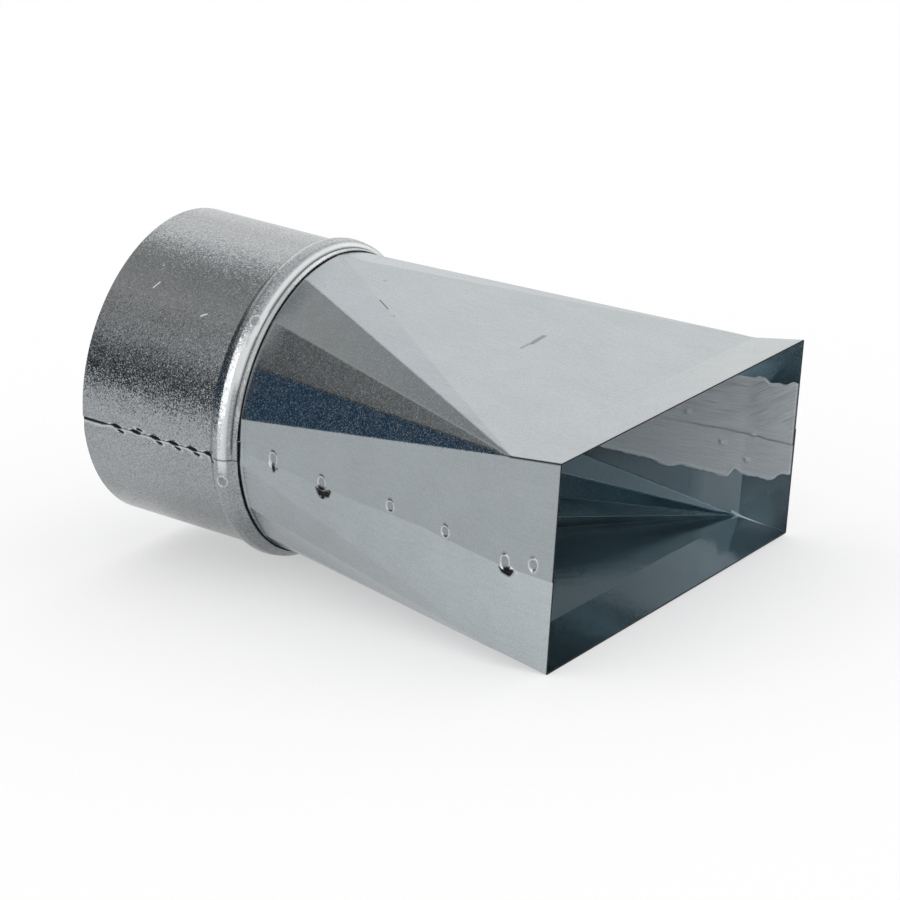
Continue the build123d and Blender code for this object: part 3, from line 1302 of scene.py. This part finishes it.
    def roll_lip(self, bm: bmesh.types.BMesh) -> None:
        """Carry the creased ring back into the round lip that is swelled into the collar's bead.

        Args:
            bm: the folded faces.
        """
        sizes = self.sizes
        round_end = sizes.ring_x + self.round_share * (sizes.fold_x - sizes.ring_x)
        rows = [
            edge for edge in bm.edges
            if edge.calc_length() > self.ring_row and not self.runs_along(edge)
            and all(vert.co.x < round_end + self.ring_margin for vert in edge.verts)
        ]
        bmesh.ops.subdivide_edges(bm, edges=rows, cuts=self.ring_cuts, use_grid_fill=True)
        for vert in bm.verts:
            chord = Vector((vert.co.y + sizes.half_shift, vert.co.z)).length
            if abs(vert.co.x - sizes.ring_x) < SAME_PLACE and chord < sizes.crease_radius:
                share = self.ring_bulge * ramp(vert.co.z, *self.bulge_levels)
                vert.co.yz *= 1 + share * (sizes.crease_radius - chord) / chord
        edges = [
            edge for edge in bm.edges
            if all(abs(vert.co.x - sizes.ring_x) < SAME_PLACE and vert.co.z > self.butt
                   for vert in edge.verts)
        ]
        for x, roundness, swell in self.lip_line:
            grown = bmesh.ops.extrude_edge_only(bm, edges=edges)["geom"]
            edges = [item for item in grown if isinstance(item, bmesh.types.BMEdge)]
            for vert in (item for item in grown if isinstance(item, bmesh.types.BMVert)):
                flat = vert.co.yz.length
                radius = flat + roundness * (sizes.ring_radius + swell - flat)
                vert.co = ring_point(x, radius, angle_of(vert.co))

    def mark_lap(self, bm: bmesh.types.BMesh) -> None:
        """Make the outer lap's edge uneven and press in its spot welds.

        Args:
            bm: the folded half, with its outer lap on the near side.
        """
        shade_and_grime = bm.verts.layers.float.new(SHADE_AND_GRIME)
        highlight_and_scratch = bm.verts.layers.float.new(HIGHLIGHT_AND_SCRATCH)
        low, high = self.strip_levels(self.outer_tab)
        weld, scorch = SpotWeld(), self.scorch
        for vert in bm.verts:
            x, y, z = vert.co
            # Painted shade: black in the gap behind the collar's lip and along the mouth's cut edge.
            vert[shade_and_grime] = float(x < self.lip_shade or x > self.sizes.mouth_x - SAME_PLACE)
            on_strip = low - self.strip_margin < z < high - self.strip_margin
            if y > 0 or x < self.sizes.ring_x - self.strip_margin or not on_strip:
                continue
            on_lap = ramp(-z, self.lap_start, -low)
            for index, (weld_x, weld_z) in enumerate(self.welds):
                across, up = x - weld_x, z - weld_z
                if math.hypot(across, up) < weld.reach:
                    rise, vert[shade_and_grime], vert[highlight_and_scratch] = weld.relief(across, up)
                    vert.co.y -= rise
                # At a burnt weld: a painted highlight on the lip, soot with painted shadow under it, and the
                # lip sags and curls.
                if index in self.burnt_welds and self.half is Half.UPPER:
                    shift, width = self.soot_shade_spots[self.burnt_welds.index(index)]
                    soot_and_shade = scorch.soot_and_shade(Vector((x, y, z)), across - shift, width, -low)
                    vert[highlight_and_scratch] = max(vert[highlight_and_scratch], scorch.shine(across, up))
                    vert[highlight_and_scratch] *= 1 - soot_and_shade
                    vert[shade_and_grime] = max(vert[shade_and_grime], soot_and_shade)
                    vert.co.z -= scorch.sag * hump(across, scorch.sag_width) * on_lap
                    curled = ramp(-z, scorch.curl_start, -low)
                    vert.co.y -= scorch.curl * hump(across, scorch.curl_width) * curled
            vert.co.z += along_knots(x, self.lap_knots) * on_lap

    def burn_outlines(self) -> list[Outline]:
        """Ragged outlines of the holes beside the burnt welds.

        Returns:
            The outlines in the plane of the near wall.
        """
        outlines = []
        for index, shape in zip(self.burnt_welds, self.burn_shapes):
            x, z = self.welds[index]
            corners = [(x + dx * self.burn_spread, z + dz * self.burn_spread) for dx, dz in shape]
            outlines.append([Vector((across, 0.0, up)) for across, up in corners])
        return outlines

    def burn_holes(self, bm: bmesh.types.BMesh) -> None:
        """Open the burnt holes in the inner lap's wall, which the lower half turns to the near side.

        Args:
            bm: the folded half, with its inner lap on the far side.
        """
        shade_and_grime = bm.verts.layers.float[SHADE_AND_GRIME]
        low, high = self.strip_levels(self.inner_tab)
        for outline in self.burn_outlines():
            turned = [Vector((point.x, 0.0, -point.z)) for point in outline]
            strip = [
                vert for vert in bm.verts
                if vert.co.y > 0 and low < vert.co.z < high - self.strip_margin
                and abs(vert.co.x - turned[0].x) < self.burn_zone
            ]
            flat = {vert: Vector((vert.co.x, 0.0, vert.co.z)) for vert in strip}
            burnt = {vert for vert, point in flat.items() if is_inside(point, turned)}
            for vert, point in flat.items():
                edge = nearest_on(point, turned)
                soot_and_shade = self.burn_soot * hump((edge - point).length, self.burn_fade)
                vert[shade_and_grime] = max(vert[shade_and_grime], soot_and_shade)
                if vert in burnt:
                    vert.co.x, vert.co.z = edge.x, edge.z
            gone = [face for face in bm.faces if burnt.issuperset(face.verts)]
            bmesh.ops.delete(bm, geom=gone, context="FACES")


@dataclass
class SealantBand:
    """Mastic brushed over one side seam inside the duct, with ragged edges and a few lumps."""

    sizes: DuctSizes
    side: Side
    start: float = 106.2
    end_margin: float = 0.6
    cell: float = 0.6
    rows: int = 80
    bedding: float = 0.02
    thickness: float = 0.8
    thinnest: float = 0.08
    body: float = 0.75
    brush_depth: float = 0.3
    feather: Pair = (-0.5, 1.2)
    feather_share: float = 0.25
    rim: float = 0.8
    rim_rise: float = 0.4
    fray: float = 0.8
    fray_scale: float = 0.4
    fray_layer: float = 1.0
    top_knots: Knots = (
        (106.0, 25.0), (140.0, 26.2), (200.0, 25.2), (257.0, 26.0), (263.7, 27.1), (268.1, 25.6),
        (275.3, 26.6), (280.3, 28.4), (283.0, 28.0))
    bottom_knots: Knots = (
        (106.0, -23.0), (150.0, -24.5), (185.6, -23.7), (207.6, -24.2), (220.5, -26.5), (227.3, -24.7),
        (236.3, -25.5), (249.1, -26.3), (253.2, -21.8), (257.5, -23.5), (271.4, -23.0), (278.3, -18.3),
        (283.0, -17.0))
    lumps: Knots = ((228.4, 3.3), (261.3, -2.2), (258.9, -15.5), (246.0, -9.0))
    lump_rise: float = 1.5
    lump_width: float = 1.3
    lump_squash: float = 1.4
    lap_level: float = -2.5
    lap_wander: float = 0.5
    lap_scale: float = 0.08
    lap_layer: float = 11.0
    lap_width: float = 0.35
    lap_depth: float = 0.3
    # Painted shade along the crack over the inner lap's edge.
    lap_shade: float = 0.45
    lap_start: Pair = (215.0, 235.0)
    # Reach of the black painted shade behind the burnt holes.
    hole_shade_reach: Pair = (3.0, 5.0)
    stroke_tone: float = 0.5
    stroke_brush: float = 0.35
    # Painted highlight along the band's edges.
    edge_highlight: float = 0.9
    slants: Pair = (3.0, 34.0)
    slant_start: Pair = (-1.0, 3.0)
    slant_levels: Pair = (0.0, 6.0)
    weak_levels: Pair = (-2.0, 6.0)
    weak: float = 0.35
    broad_scale: Pair = (0.03, 0.22)
    broad_layer: float = 3.0
    broad_share: float = 0.5
    ridge_scale: Pair = (0.06, 0.5)
    ridge_layer: float = 8.0
    ridge_share: float = 0.7
    ridge_sharpness: float = 3.0

    def build(self, material: bpy.types.Material, burns: list[Outline]) -> bpy.types.Object:
        """Lay the band on the inner wall and write the piece.

        Args:
            material: the mastic.
            burns: outlines of the holes that the near band closes from inside.

        Returns:
            The piece.
        """
        end = self.sizes.mouth_x - self.end_margin
        walls = [self.wall_tree(frame["nodes"][half.value].data) for half in Half]
        bm = bmesh.new()
        shade_and_grime = bm.verts.layers.float.new(SHADE_AND_GRIME)
        stroke = bm.verts.layers.float.new(BRUSH_TONE_AND_EDGE_HIGHLIGHT)
        columns = round((end - self.start) / self.cell)
        bmesh.ops.create_grid(bm, x_segments=columns, y_segments=self.rows, size=0.5)
        for vert in bm.verts:
            x = self.start + (end - self.start) * (vert.co.x + 0.5)
            bottom, top = along_knots(x, self.bottom_knots), along_knots(x, self.top_knots)
            ragged = noise.noise(Vector((x * self.fray_scale, vert.co.y, self.fray_layer)))
            z = bottom + (top - bottom) * (vert.co.y + 0.5) + ragged * self.fray * abs(2 * vert.co.y)
            vert.co = (x, self.wall_depth(walls, x, z), z)
            # Painted shade: black on the band's back, seen through the burnt holes.
            vert[shade_and_grime] = self.black_shade(x, z, burns)
        front = bmesh.ops.extrude_face_region(bm, geom=bm.faces[:])["geom"]
        for vert in (item for item in front if isinstance(item, bmesh.types.BMVert)):
            x, _, z = vert.co
            # Painted shade along the lap's crack on the band's face.
            vert[shade_and_grime] = self.lap_shade * self.lap_line(x, z)
            # Brush tone, with a painted highlight along the edges.
            rim = hump(self.from_edge(x, z) - self.rim / 2, self.rim)
            vert[stroke] = self.stroke_tone + self.stroke_brush * self.brush(x, z) + self.edge_highlight * rim
            vert.co.y -= self.relief(x, z)
        bmesh.ops.recalc_face_normals(bm, faces=bm.faces)
        if self.side is Side.NEAR:
            bmesh.ops.rotate(bm, verts=bm.verts, cent=(0, 0, 0), matrix=HALF_TURN)
        piece = write_piece(bm, f"{self.side.name.lower()}_seam_mastic", material)
        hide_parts(self.side.value)
        return piece

    @staticmethod
    def wall_tree(mesh: bpy.types.Mesh) -> BVHTree:
        """Search tree of a CAD node's faces, for casting rays at it."""
        points = [vert.co for vert in mesh.vertices]
        return BVHTree.FromPolygons(points, [face.vertices for face in mesh.polygons])

    def wall_depth(self, walls: list[BVHTree], x: float, z: float) -> float:
        """Distance from mid width to the far wall's inner face at a place on it."""
        hits = [wall.ray_cast(Vector((x, 0, z)) * MM, Vector((0, 1, 0)))[0] for wall in walls]
        return min(hit.y for hit in hits if hit is not None) / MM - self.bedding

    def black_shade(self, x: float, z: float, burns: list[Outline]) -> float:
        """Share of black painted shade on the mastic's outer face, behind the burnt holes of the near wall.

        Args:
            x: place along the duct.
            z: height on the wall, before the near band is turned over.
            burns: outlines of the holes.

        Returns:
            The share there, and 0 on the far side.
        """
        if self.side is Side.FAR:
            return 0.0
        point = Vector((x, 0.0, -z))
        away = min((nearest_on(point, outline) - point).length for outline in burns)
        return 1 - ramp(away, *self.hole_shade_reach)

    def relief(self, x: float, z: float) -> float:
        """Thickness of the mastic at a place.

        Args:
            x: place along the duct.
            z: height on the wall.

        Returns:
            The thickness, with the brush's strokes and lumps, thin at the edges.
        """
        spans = [math.hypot(x - lump_x, (z - lump_z) * self.lump_squash) for lump_x, lump_z in self.lumps]
        lump = sum(hump(span, self.lump_width) for span in spans)
        edge = self.from_edge(x, z)
        body = self.thickness * (self.body + self.brush_depth * self.brush(x, z))
        body += self.lump_rise * lump - self.lap_depth * self.lap_line(x, z)
        body += self.rim_rise * hump(edge - self.rim, self.rim)
        feathered = self.feather_share + (1 - self.feather_share) * ramp(edge, *self.feather)
        return max(self.thinnest, body * feathered)

    def from_edge(self, x: float, z: float) -> float:
        """Distance from the nearer edge of the band."""
        return min(z - along_knots(x, self.bottom_knots), along_knots(x, self.top_knots) - z)

    def brush(self, x: float, z: float) -> float:
        """Streaks of the brush, along the seam on the transition and slanting on the neck.

        Args:
            x: place along the duct.
            z: height on the wall.

        Returns:
            A number between about -1 and 1.
        """
        past_fold = x - self.sizes.fold_x
        on_neck = ramp(past_fold, *self.slant_start) * ramp(z, *self.slant_levels)
        level, slanted = (self.streaks(past_fold, z, slant) for slant in self.slants)
        strength = self.weak + (1 - self.weak) * ramp(z, *self.weak_levels)
        return (level + on_neck * (slanted - level)) * strength

    def streaks(self, x: float, z: float, slant: float) -> float:
        """Fine ridges and broad waves of one brush stroke.

        Args:
            x: distance along the duct from the fold.
            z: height on the wall.
            slant: slope of the stroke in degrees.

        Returns:
            A number between about -1 and 1.
        """
        turn = math.radians(slant)
        along = x * math.cos(turn) + z * math.sin(turn)
        across = z * math.cos(turn) - x * math.sin(turn)
        broad, fine = (
            noise.noise(Vector((along * scale[0], across * scale[1], layer)))
            for scale, layer in ((self.broad_scale, self.broad_layer), (self.ridge_scale, self.ridge_layer)))
        ridge = 1 - self.ridge_sharpness * abs(fine)
        return self.broad_share * broad + self.ridge_share * ridge

    def lap_line(self, x: float, z: float) -> float:
        """Share of the crack over the edge of the inner lap, sunk into the band and darkened as painted
        shade.

        Args:
            x: place along the duct.
            z: height on the wall.

        Returns:
            The share there.
        """
        wander = noise.noise(Vector((x * self.lap_scale, 0.0, self.lap_layer)))
        level = self.lap_level + self.lap_wander * wander
        return hump(z - level, self.lap_width) * ramp(x, *self.lap_start)


@dataclass(frozen=True)
class Card:
    """Curved card that only reflections see, graded from its lower to its upper edge.

    Azimuths are degrees from the duct's direction, counted on the floor, and elevations are degrees
    above the floor's plane. Stops are shares of the card's height with the brightness there.
    """

    name: str
    azimuths: Pair
    elevations: Pair
    distance: float
    stops: Stops


@dataclass(frozen=True)
class Studio:
    """White floor under the part as it rests, an even dome of light, reflecting cards and the camera."""

    sizes: DuctSizes
    floor_tilt: float = 8.17
    floor_size: float = 14000.0
    floor_paint: Paint = (0.55, 0.55, 0.55, 1.0)
    floor_lift: float = 0.45
    camera_place: tuple[float, float, float] = (1023.26, -1372.55, 599.59)
    camera_azimuth: float = 32.212
    camera_elevation: float = 20.494
    camera_roll: float = 3.627
    focal_pixels: float = 3717.06
    image_pixels: float = 900.0
    sensor: float = 36.0
    clip_end: float = 100.0
    card_cells: int = 24
    cards: tuple[Card, ...] = (
        Card("left_card", (152.0, 224.0), (-4.0, 78.0), 1500.0, (
            (0.0, (0.008, 0.060, 0.125)), (0.25, (0.008, 0.060, 0.125)), (0.34, (0.055, 0.07, 0.085)),
            (0.48, (0.07, 0.07, 0.07)), (0.58, (0.44, 0.43, 0.42)), (0.68, (0.77, 0.74, 0.72)),
            (0.80, (0.36, 0.36, 0.36)), (0.90, (0.46, 0.46, 0.46)), (1.0, (1.0, 1.0, 1.0)))),
        Card("front_card", (224.0, 246.0), (-4.0, 78.0), 1500.0, (
            (0.0, (0.01, 0.018, 0.025)), (0.27, (0.01, 0.018, 0.025)), (0.35, (0.30, 0.30, 0.30)),
            (0.42, (0.60, 0.60, 0.60)), (0.49, (0.58, 0.58, 0.58)), (0.58, (0.39, 0.39, 0.39)),
            (0.80, (0.42, 0.42, 0.42)), (1.0, (0.9, 0.9, 0.9)))),
        Card("back_softbox", (80.0, 116.0), (4.0, 62.0), 1700.0, (
            (0.0, (0.82, 0.83, 0.84)), (0.12, (1.11, 1.11, 1.11)), (0.22, (1.23, 1.20, 1.18)),
            (0.47, (1.40, 1.37, 1.35)), (0.7, (1.34, 1.32, 1.30)), (1.0, (1.0, 1.0, 1.0)))),
        Card("rear_softbox", (116.0, 146.0), (4.0, 62.0), 1700.0, (
            (0.0, (0.78, 0.79, 0.80)), (0.08, (0.96, 0.97, 0.98)), (0.16, (1.25, 1.26, 1.28)),
            (0.22, (1.21, 1.22, 1.23)), (0.32, (1.02, 1.00, 0.99)), (0.58, (1.22, 1.19, 1.17)),
            (0.7, (1.52, 1.50, 1.48)), (1.0, (1.0, 1.0, 1.0)))),
        Card("strip_softbox", (252.0, 272.0), (-3.0, 54.0), 1400.0, (
            (0.0, (2.8, 2.8, 2.8)), (0.6, (2.8, 2.8, 2.8)), (1.0, (1.0, 1.0, 1.0)))),
    )

    def build(self) -> None:
        """Set up everything that isn't part of the object."""
        scene = bpy.context.scene
        scene.view_settings.view_transform = "Standard"
        self.light_dome(scene)
        self.lay_floor()
        for card in self.cards:
            self.hang(card)
        self.place_camera(scene)

    def floor_frame(self) -> Matrix:
        """Frame of the floor.

        Returns:
            The frame, with its middle under the part, x along the duct and z up from the floor.
        """
        turn = Matrix.Rotation(-math.radians(self.floor_tilt), 4, "Y")
        normal = turn.to_3x3() @ Vector((0, 0, 1))
        edge = Vector((self.sizes.mouth_x, 0, -self.sizes.mouth_half_height))
        middle = Vector((self.sizes.mouth_x / 2, 0, 0))
        foot = middle - normal * normal.dot(middle - edge)
        return Matrix.Translation(foot * MM) @ turn

    def light_dome(self, scene: bpy.types.Scene) -> None:
        """Light the set evenly from all sides.

        Args:
            scene: the scene to light.
        """
        world = bpy.data.worlds.new("light_dome")
        world.use_nodes = True
        board = NodeBoard(world.node_tree)
        dome = board.add("ShaderNodeBackground", None, Color=WHITE, Strength=1.0)
        board.add("ShaderNodeOutputWorld", None, Surface=dome.outputs[0])
        scene.world = world

    def set_piece(self, bm: bmesh.types.BMesh, name: str, material: bpy.types.Material) -> bpy.types.Object:
        """Write a mesh in the floor's frame as a piece of the set.

        Args:
            bm: the mesh, in metres in the floor's frame, which is freed.
            name: name of the piece.
            material: its paint or glow.

        Returns:
            The new object.
        """
        bmesh.ops.transform(bm, matrix=self.floor_frame(), verts=bm.verts)
        piece = new_object(bm, name, material)
        return piece

    def lay_floor(self) -> None:
        """Lay the pale floor."""
        bm = bmesh.new()
        bmesh.ops.create_grid(bm, x_segments=1, y_segments=1, size=self.floor_size / 2 * MM)
        self.set_piece(bm, "floor", self.floor_finish())

    def floor_finish(self) -> bpy.types.Material:
        """White matte paint that is lifted to white for the camera and in reflections, seen only from above.

        Returns:
            The material.
        """
        made, board = new_material("floor_paint")
        paint = board.add("ShaderNodeBsdfDiffuse", None, Color=self.floor_paint).outputs[0]
        path = board.add("ShaderNodeLightPath").outputs
        seen = board.math("MAXIMUM", path["Is Camera Ray"],
                          board.math("MAXIMUM", path["Is Glossy Ray"], path["Is Transmission Ray"]))
        lift = board.add("ShaderNodeEmission", None, Color=WHITE,
                         Strength=board.math("MULTIPLY", seen, self.floor_lift)).outputs[0]
        lit = board.add("ShaderNodeAddShader", None, i0=paint, i1=lift).outputs[0]
        clear = board.add("ShaderNodeBsdfTransparent").outputs[0]
        below = board.add("ShaderNodeNewGeometry").outputs["Backfacing"]
        one_sided = board.add("ShaderNodeMixShader", None, i0=below, i1=lit, i2=clear)
        board.add("ShaderNodeOutputMaterial", None, Surface=one_sided.outputs[0])
        return made

    def hang(self, card: Card) -> None:
        """Hang a card round the part.

        Args:
            card: the card.
        """
        bm = bmesh.new()
        bmesh.ops.create_grid(bm, x_segments=self.card_cells, y_segments=self.card_cells, size=0.5)
        layer = bm.loops.layers.uv.new("height")
        for face in bm.faces:
            for loop in face.loops:
                loop[layer].uv = (loop.vert.co.x + 0.5, loop.vert.co.y + 0.5)
        for vert in bm.verts:
            azimuth, elevation = (
                math.radians(first + (last - first) * (share + 0.5))
                for (first, last), share in ((card.azimuths, vert.co.x), (card.elevations, vert.co.y)))
            level = math.cos(elevation)
            vert.co = Vector((level * math.cos(azimuth), level * math.sin(azimuth), math.sin(elevation)))
        bmesh.ops.scale(bm, vec=(card.distance * MM,) * 3, verts=bm.verts)
        piece = self.set_piece(bm, card.name, self.card_glow(card))
        piece.visible_camera = False
        piece.visible_diffuse = False
        piece.visible_shadow = False

    @staticmethod
    def card_glow(card: Card) -> bpy.types.Material:
        """Glow that is graded from a card's lower to its upper edge.

        Args:
            card: the card.

        Returns:
            The material.
        """
        made, board = new_material(f"{card.name}_glow")
        height = board.add("ShaderNodeSeparateXYZ", None,
                           Vector=board.add("ShaderNodeUVMap", {"uv_map": "height"}).outputs[0]).outputs[1]
        grade = board.add("ShaderNodeValToRGB", None, Fac=height)
        elements = grade.color_ramp.elements
        while len(elements) < len(card.stops):
            elements.new(0.5)
        for element, (share, colour) in zip(elements, card.stops):
            element.position = share
            element.color = (*colour, 1.0)
        glow = board.add("ShaderNodeEmission", None, Color=grade.outputs[0], Strength=1.0)
        board.add("ShaderNodeOutputMaterial", None, Surface=glow.outputs[0])
        return made

    def place_camera(self, scene: bpy.types.Scene) -> None:
        """Stand the camera where the photograph was taken from.

        Args:
            scene: the scene that it films.
        """
        azimuth, elevation, roll = (
            math.radians(value) for value in (self.camera_azimuth, self.camera_elevation, self.camera_roll))
        back = Vector((math.sin(azimuth) * math.cos(elevation), -math.cos(azimuth) * math.cos(elevation),
                       math.sin(elevation)))
        level = Vector((math.cos(azimuth), math.sin(azimuth), 0.0))
        upright = back.cross(level)
        right = level * math.cos(roll) + upright * math.sin(roll)
        up = upright * math.cos(roll) - level * math.sin(roll)
        lens = bpy.data.cameras.new("camera")
        lens.sensor_width = self.sensor
        lens.lens = self.focal_pixels / self.image_pixels * self.sensor
        lens.clip_end = self.clip_end
        camera = bpy.data.objects.new("camera", lens)
        scene.collection.objects.link(camera)
        turn = Matrix((right, up, back)).transposed().to_4x4()
        camera.matrix_world = Matrix.Translation(Vector(self.camera_place) * MM) @ turn
        scene.camera = camera


def collar_strokes(sizes: DuctSizes) -> tuple[Stroke, ...]:
    """Bright scratches on the collar."""
    radius = sizes.spigot_radius
    return (
        Stroke(ring_point(22.1, radius, 43.9), ring_point(23.8, radius, 41.1), width=1.0),
        Stroke(ring_point(53.9, radius, 49.5), ring_point(56.5, radius, 48.2), width=1.0),
    )


def top_strokes() -> tuple[Stroke, ...]:
    """Dark scuffs and scratches on the upper half's flat top and along its neck's near corner."""
    spots = (
        ((144.6, -33.0, 64.3), (145.4, -33.6, 64.2)),
        ((119.8, -4.9, 68.4), (120.4, -4.4, 68.4)),
        ((114.4, 19.3, 69.3), (115.2, 19.8, 69.3)),
    )
    return (
        Stroke(Vector((198.4, -9.0, 55.3)), Vector((197.8, 14.0, 55.4)), width=1.5, strength=0.35),
        Stroke(Vector((198.6, 0.0, 55.3)), Vector((197.4, 12.5, 55.4)), width=2.6, strength=0.42),
        Stroke(Vector((131.2, -24.8, 66.6)), Vector((139.1, -29.6, 65.3)), width=0.9, strength=0.8),
        *(Stroke(Vector(start), Vector(end), width=1.6, strength=0.6, grain=2.0) for start, end in spots),
        Stroke(Vector((256.0, -107.0, 45.4)), Vector((282.2, -107.9, 48.8)), width=2.0, strength=0.9),
    )


def lap_glints() -> tuple[Stroke, ...]:
    """Painted highlight on the lifted lip beside the burnt weld next to the fold, across the lap's edge."""
    return (Stroke(Vector((260.8, -107.1, -4.6)), Vector((263.6, -107.2, -6.6)), width=1.6),)


def inner_painted_light(sizes: DuctSizes) -> tuple[Stroke, ...]:
    """Painted light inside the lower half: highlights on the neck's far corner, and patches of painted light
    on the wall before the fold and on the neck.

    Args:
        sizes: sizes of the fitting.

    Returns:
        The smears, those on the walls ending at the creases.
    """
    off_wall = 0.2
    inset = Vector((0.0, sizes.half_shift - sizes.sheet - off_wall, sizes.sheet + off_wall))
    fold = Vector((sizes.fold_x, sizes.fold_half_width, -sizes.fold_half_height)) + inset
    mouth = Vector((sizes.mouth_x, sizes.mouth_half_width, -sizes.mouth_half_height)) + inset
    crease = fold - ring_point(sizes.ring_x, sizes.crease_radius, 180.0 + sizes.crease_angles[-1])
    under_wall = Vector((crease.z, 0.0, -crease.x)).normalized()
    before_fold = (Vector((1.0, 0.0, 0.0)), sizes.fold_x)
    wall = (before_fold, (under_wall, under_wall.dot(fold)))
    corner = (mouth - fold).normalized()
    under_neck = Vector((corner.z, 0.0, -corner.x))
    neck = ((under_neck, under_neck.dot(fold)), (Vector((-1.0, 0.0, 0.0)), -sizes.fold_x))
    # Painted highlights along the neck's far corner, then painted light on the walls and the neck.
    return (
        Stroke(fold, mouth, width=1.5),
        Stroke(fold + Vector((-3.0, -0.6, 1.2)), fold, width=2.4, strength=0.9),
        Stroke(fold + Vector((-4.0, -0.8, 6.0)), fold + Vector((-4.0, -0.8, 22.0)),
               width=70.0, strength=0.42, limits=wall),
        Stroke(fold + Vector((-60.0, -12.4, 18.0)), fold + Vector((-3.0, -0.8, 12.0)),
               width=60.0, strength=0.26, limits=wall),
        Stroke(fold + Vector((10.0, 0.3, 6.0)), fold + Vector((20.0, 0.6, 16.0)),
               width=36.0, strength=0.16, limits=neck),
    )


def main() -> None:
    """Build every piece in order, then the studio."""
    logging.basicConfig(level=logging.INFO)
    sizes = DuctSizes.from_frame()
    # Painted light: the collar and both halves are one zinc, with tones set apart for the light that each
    # one reflects.
    collar_zinc = GalvanisedSheet(
        "collar_zinc", (0.318, 0.336, 0.346), (0.318, 0.336, 0.346), dullness=0.4,
        usual_tip=0.08, rare_tip=0.5, flake=0.3, scratches_and_glints=collar_strokes(sizes))
    upper_zinc = GalvanisedSheet(
        "upper_zinc", (0.324, 0.357, 0.372), (0.338, 0.372, 0.387), dullness=0.42,
        scuffs=top_strokes(), scratches_and_glints=lap_glints())
    lower_zinc = GalvanisedSheet(
        "lower_zinc", (0.350, 0.385, 0.399), (0.452, 0.495, 0.51), dullness=0.35,
        fade=(140.0, 282.0), scratches_and_glints=lap_glints(), painted_light_strokes=inner_painted_light(sizes))
    mastic = BrushedMastic(sizes.fold_x).material()
    RoundCollar(sizes).build(collar_zinc.material())
    upper, lower = FoldedHalf(sizes, Half.UPPER), FoldedHalf(sizes, Half.LOWER)
    upper.build(upper_zinc.material())
    lower.build(lower_zinc.material())
    for side in Side:
        SealantBand(sizes, side).build(mastic, lower.burn_outlines())
    Studio(sizes).build()


if __name__ == "__main__":
    main()
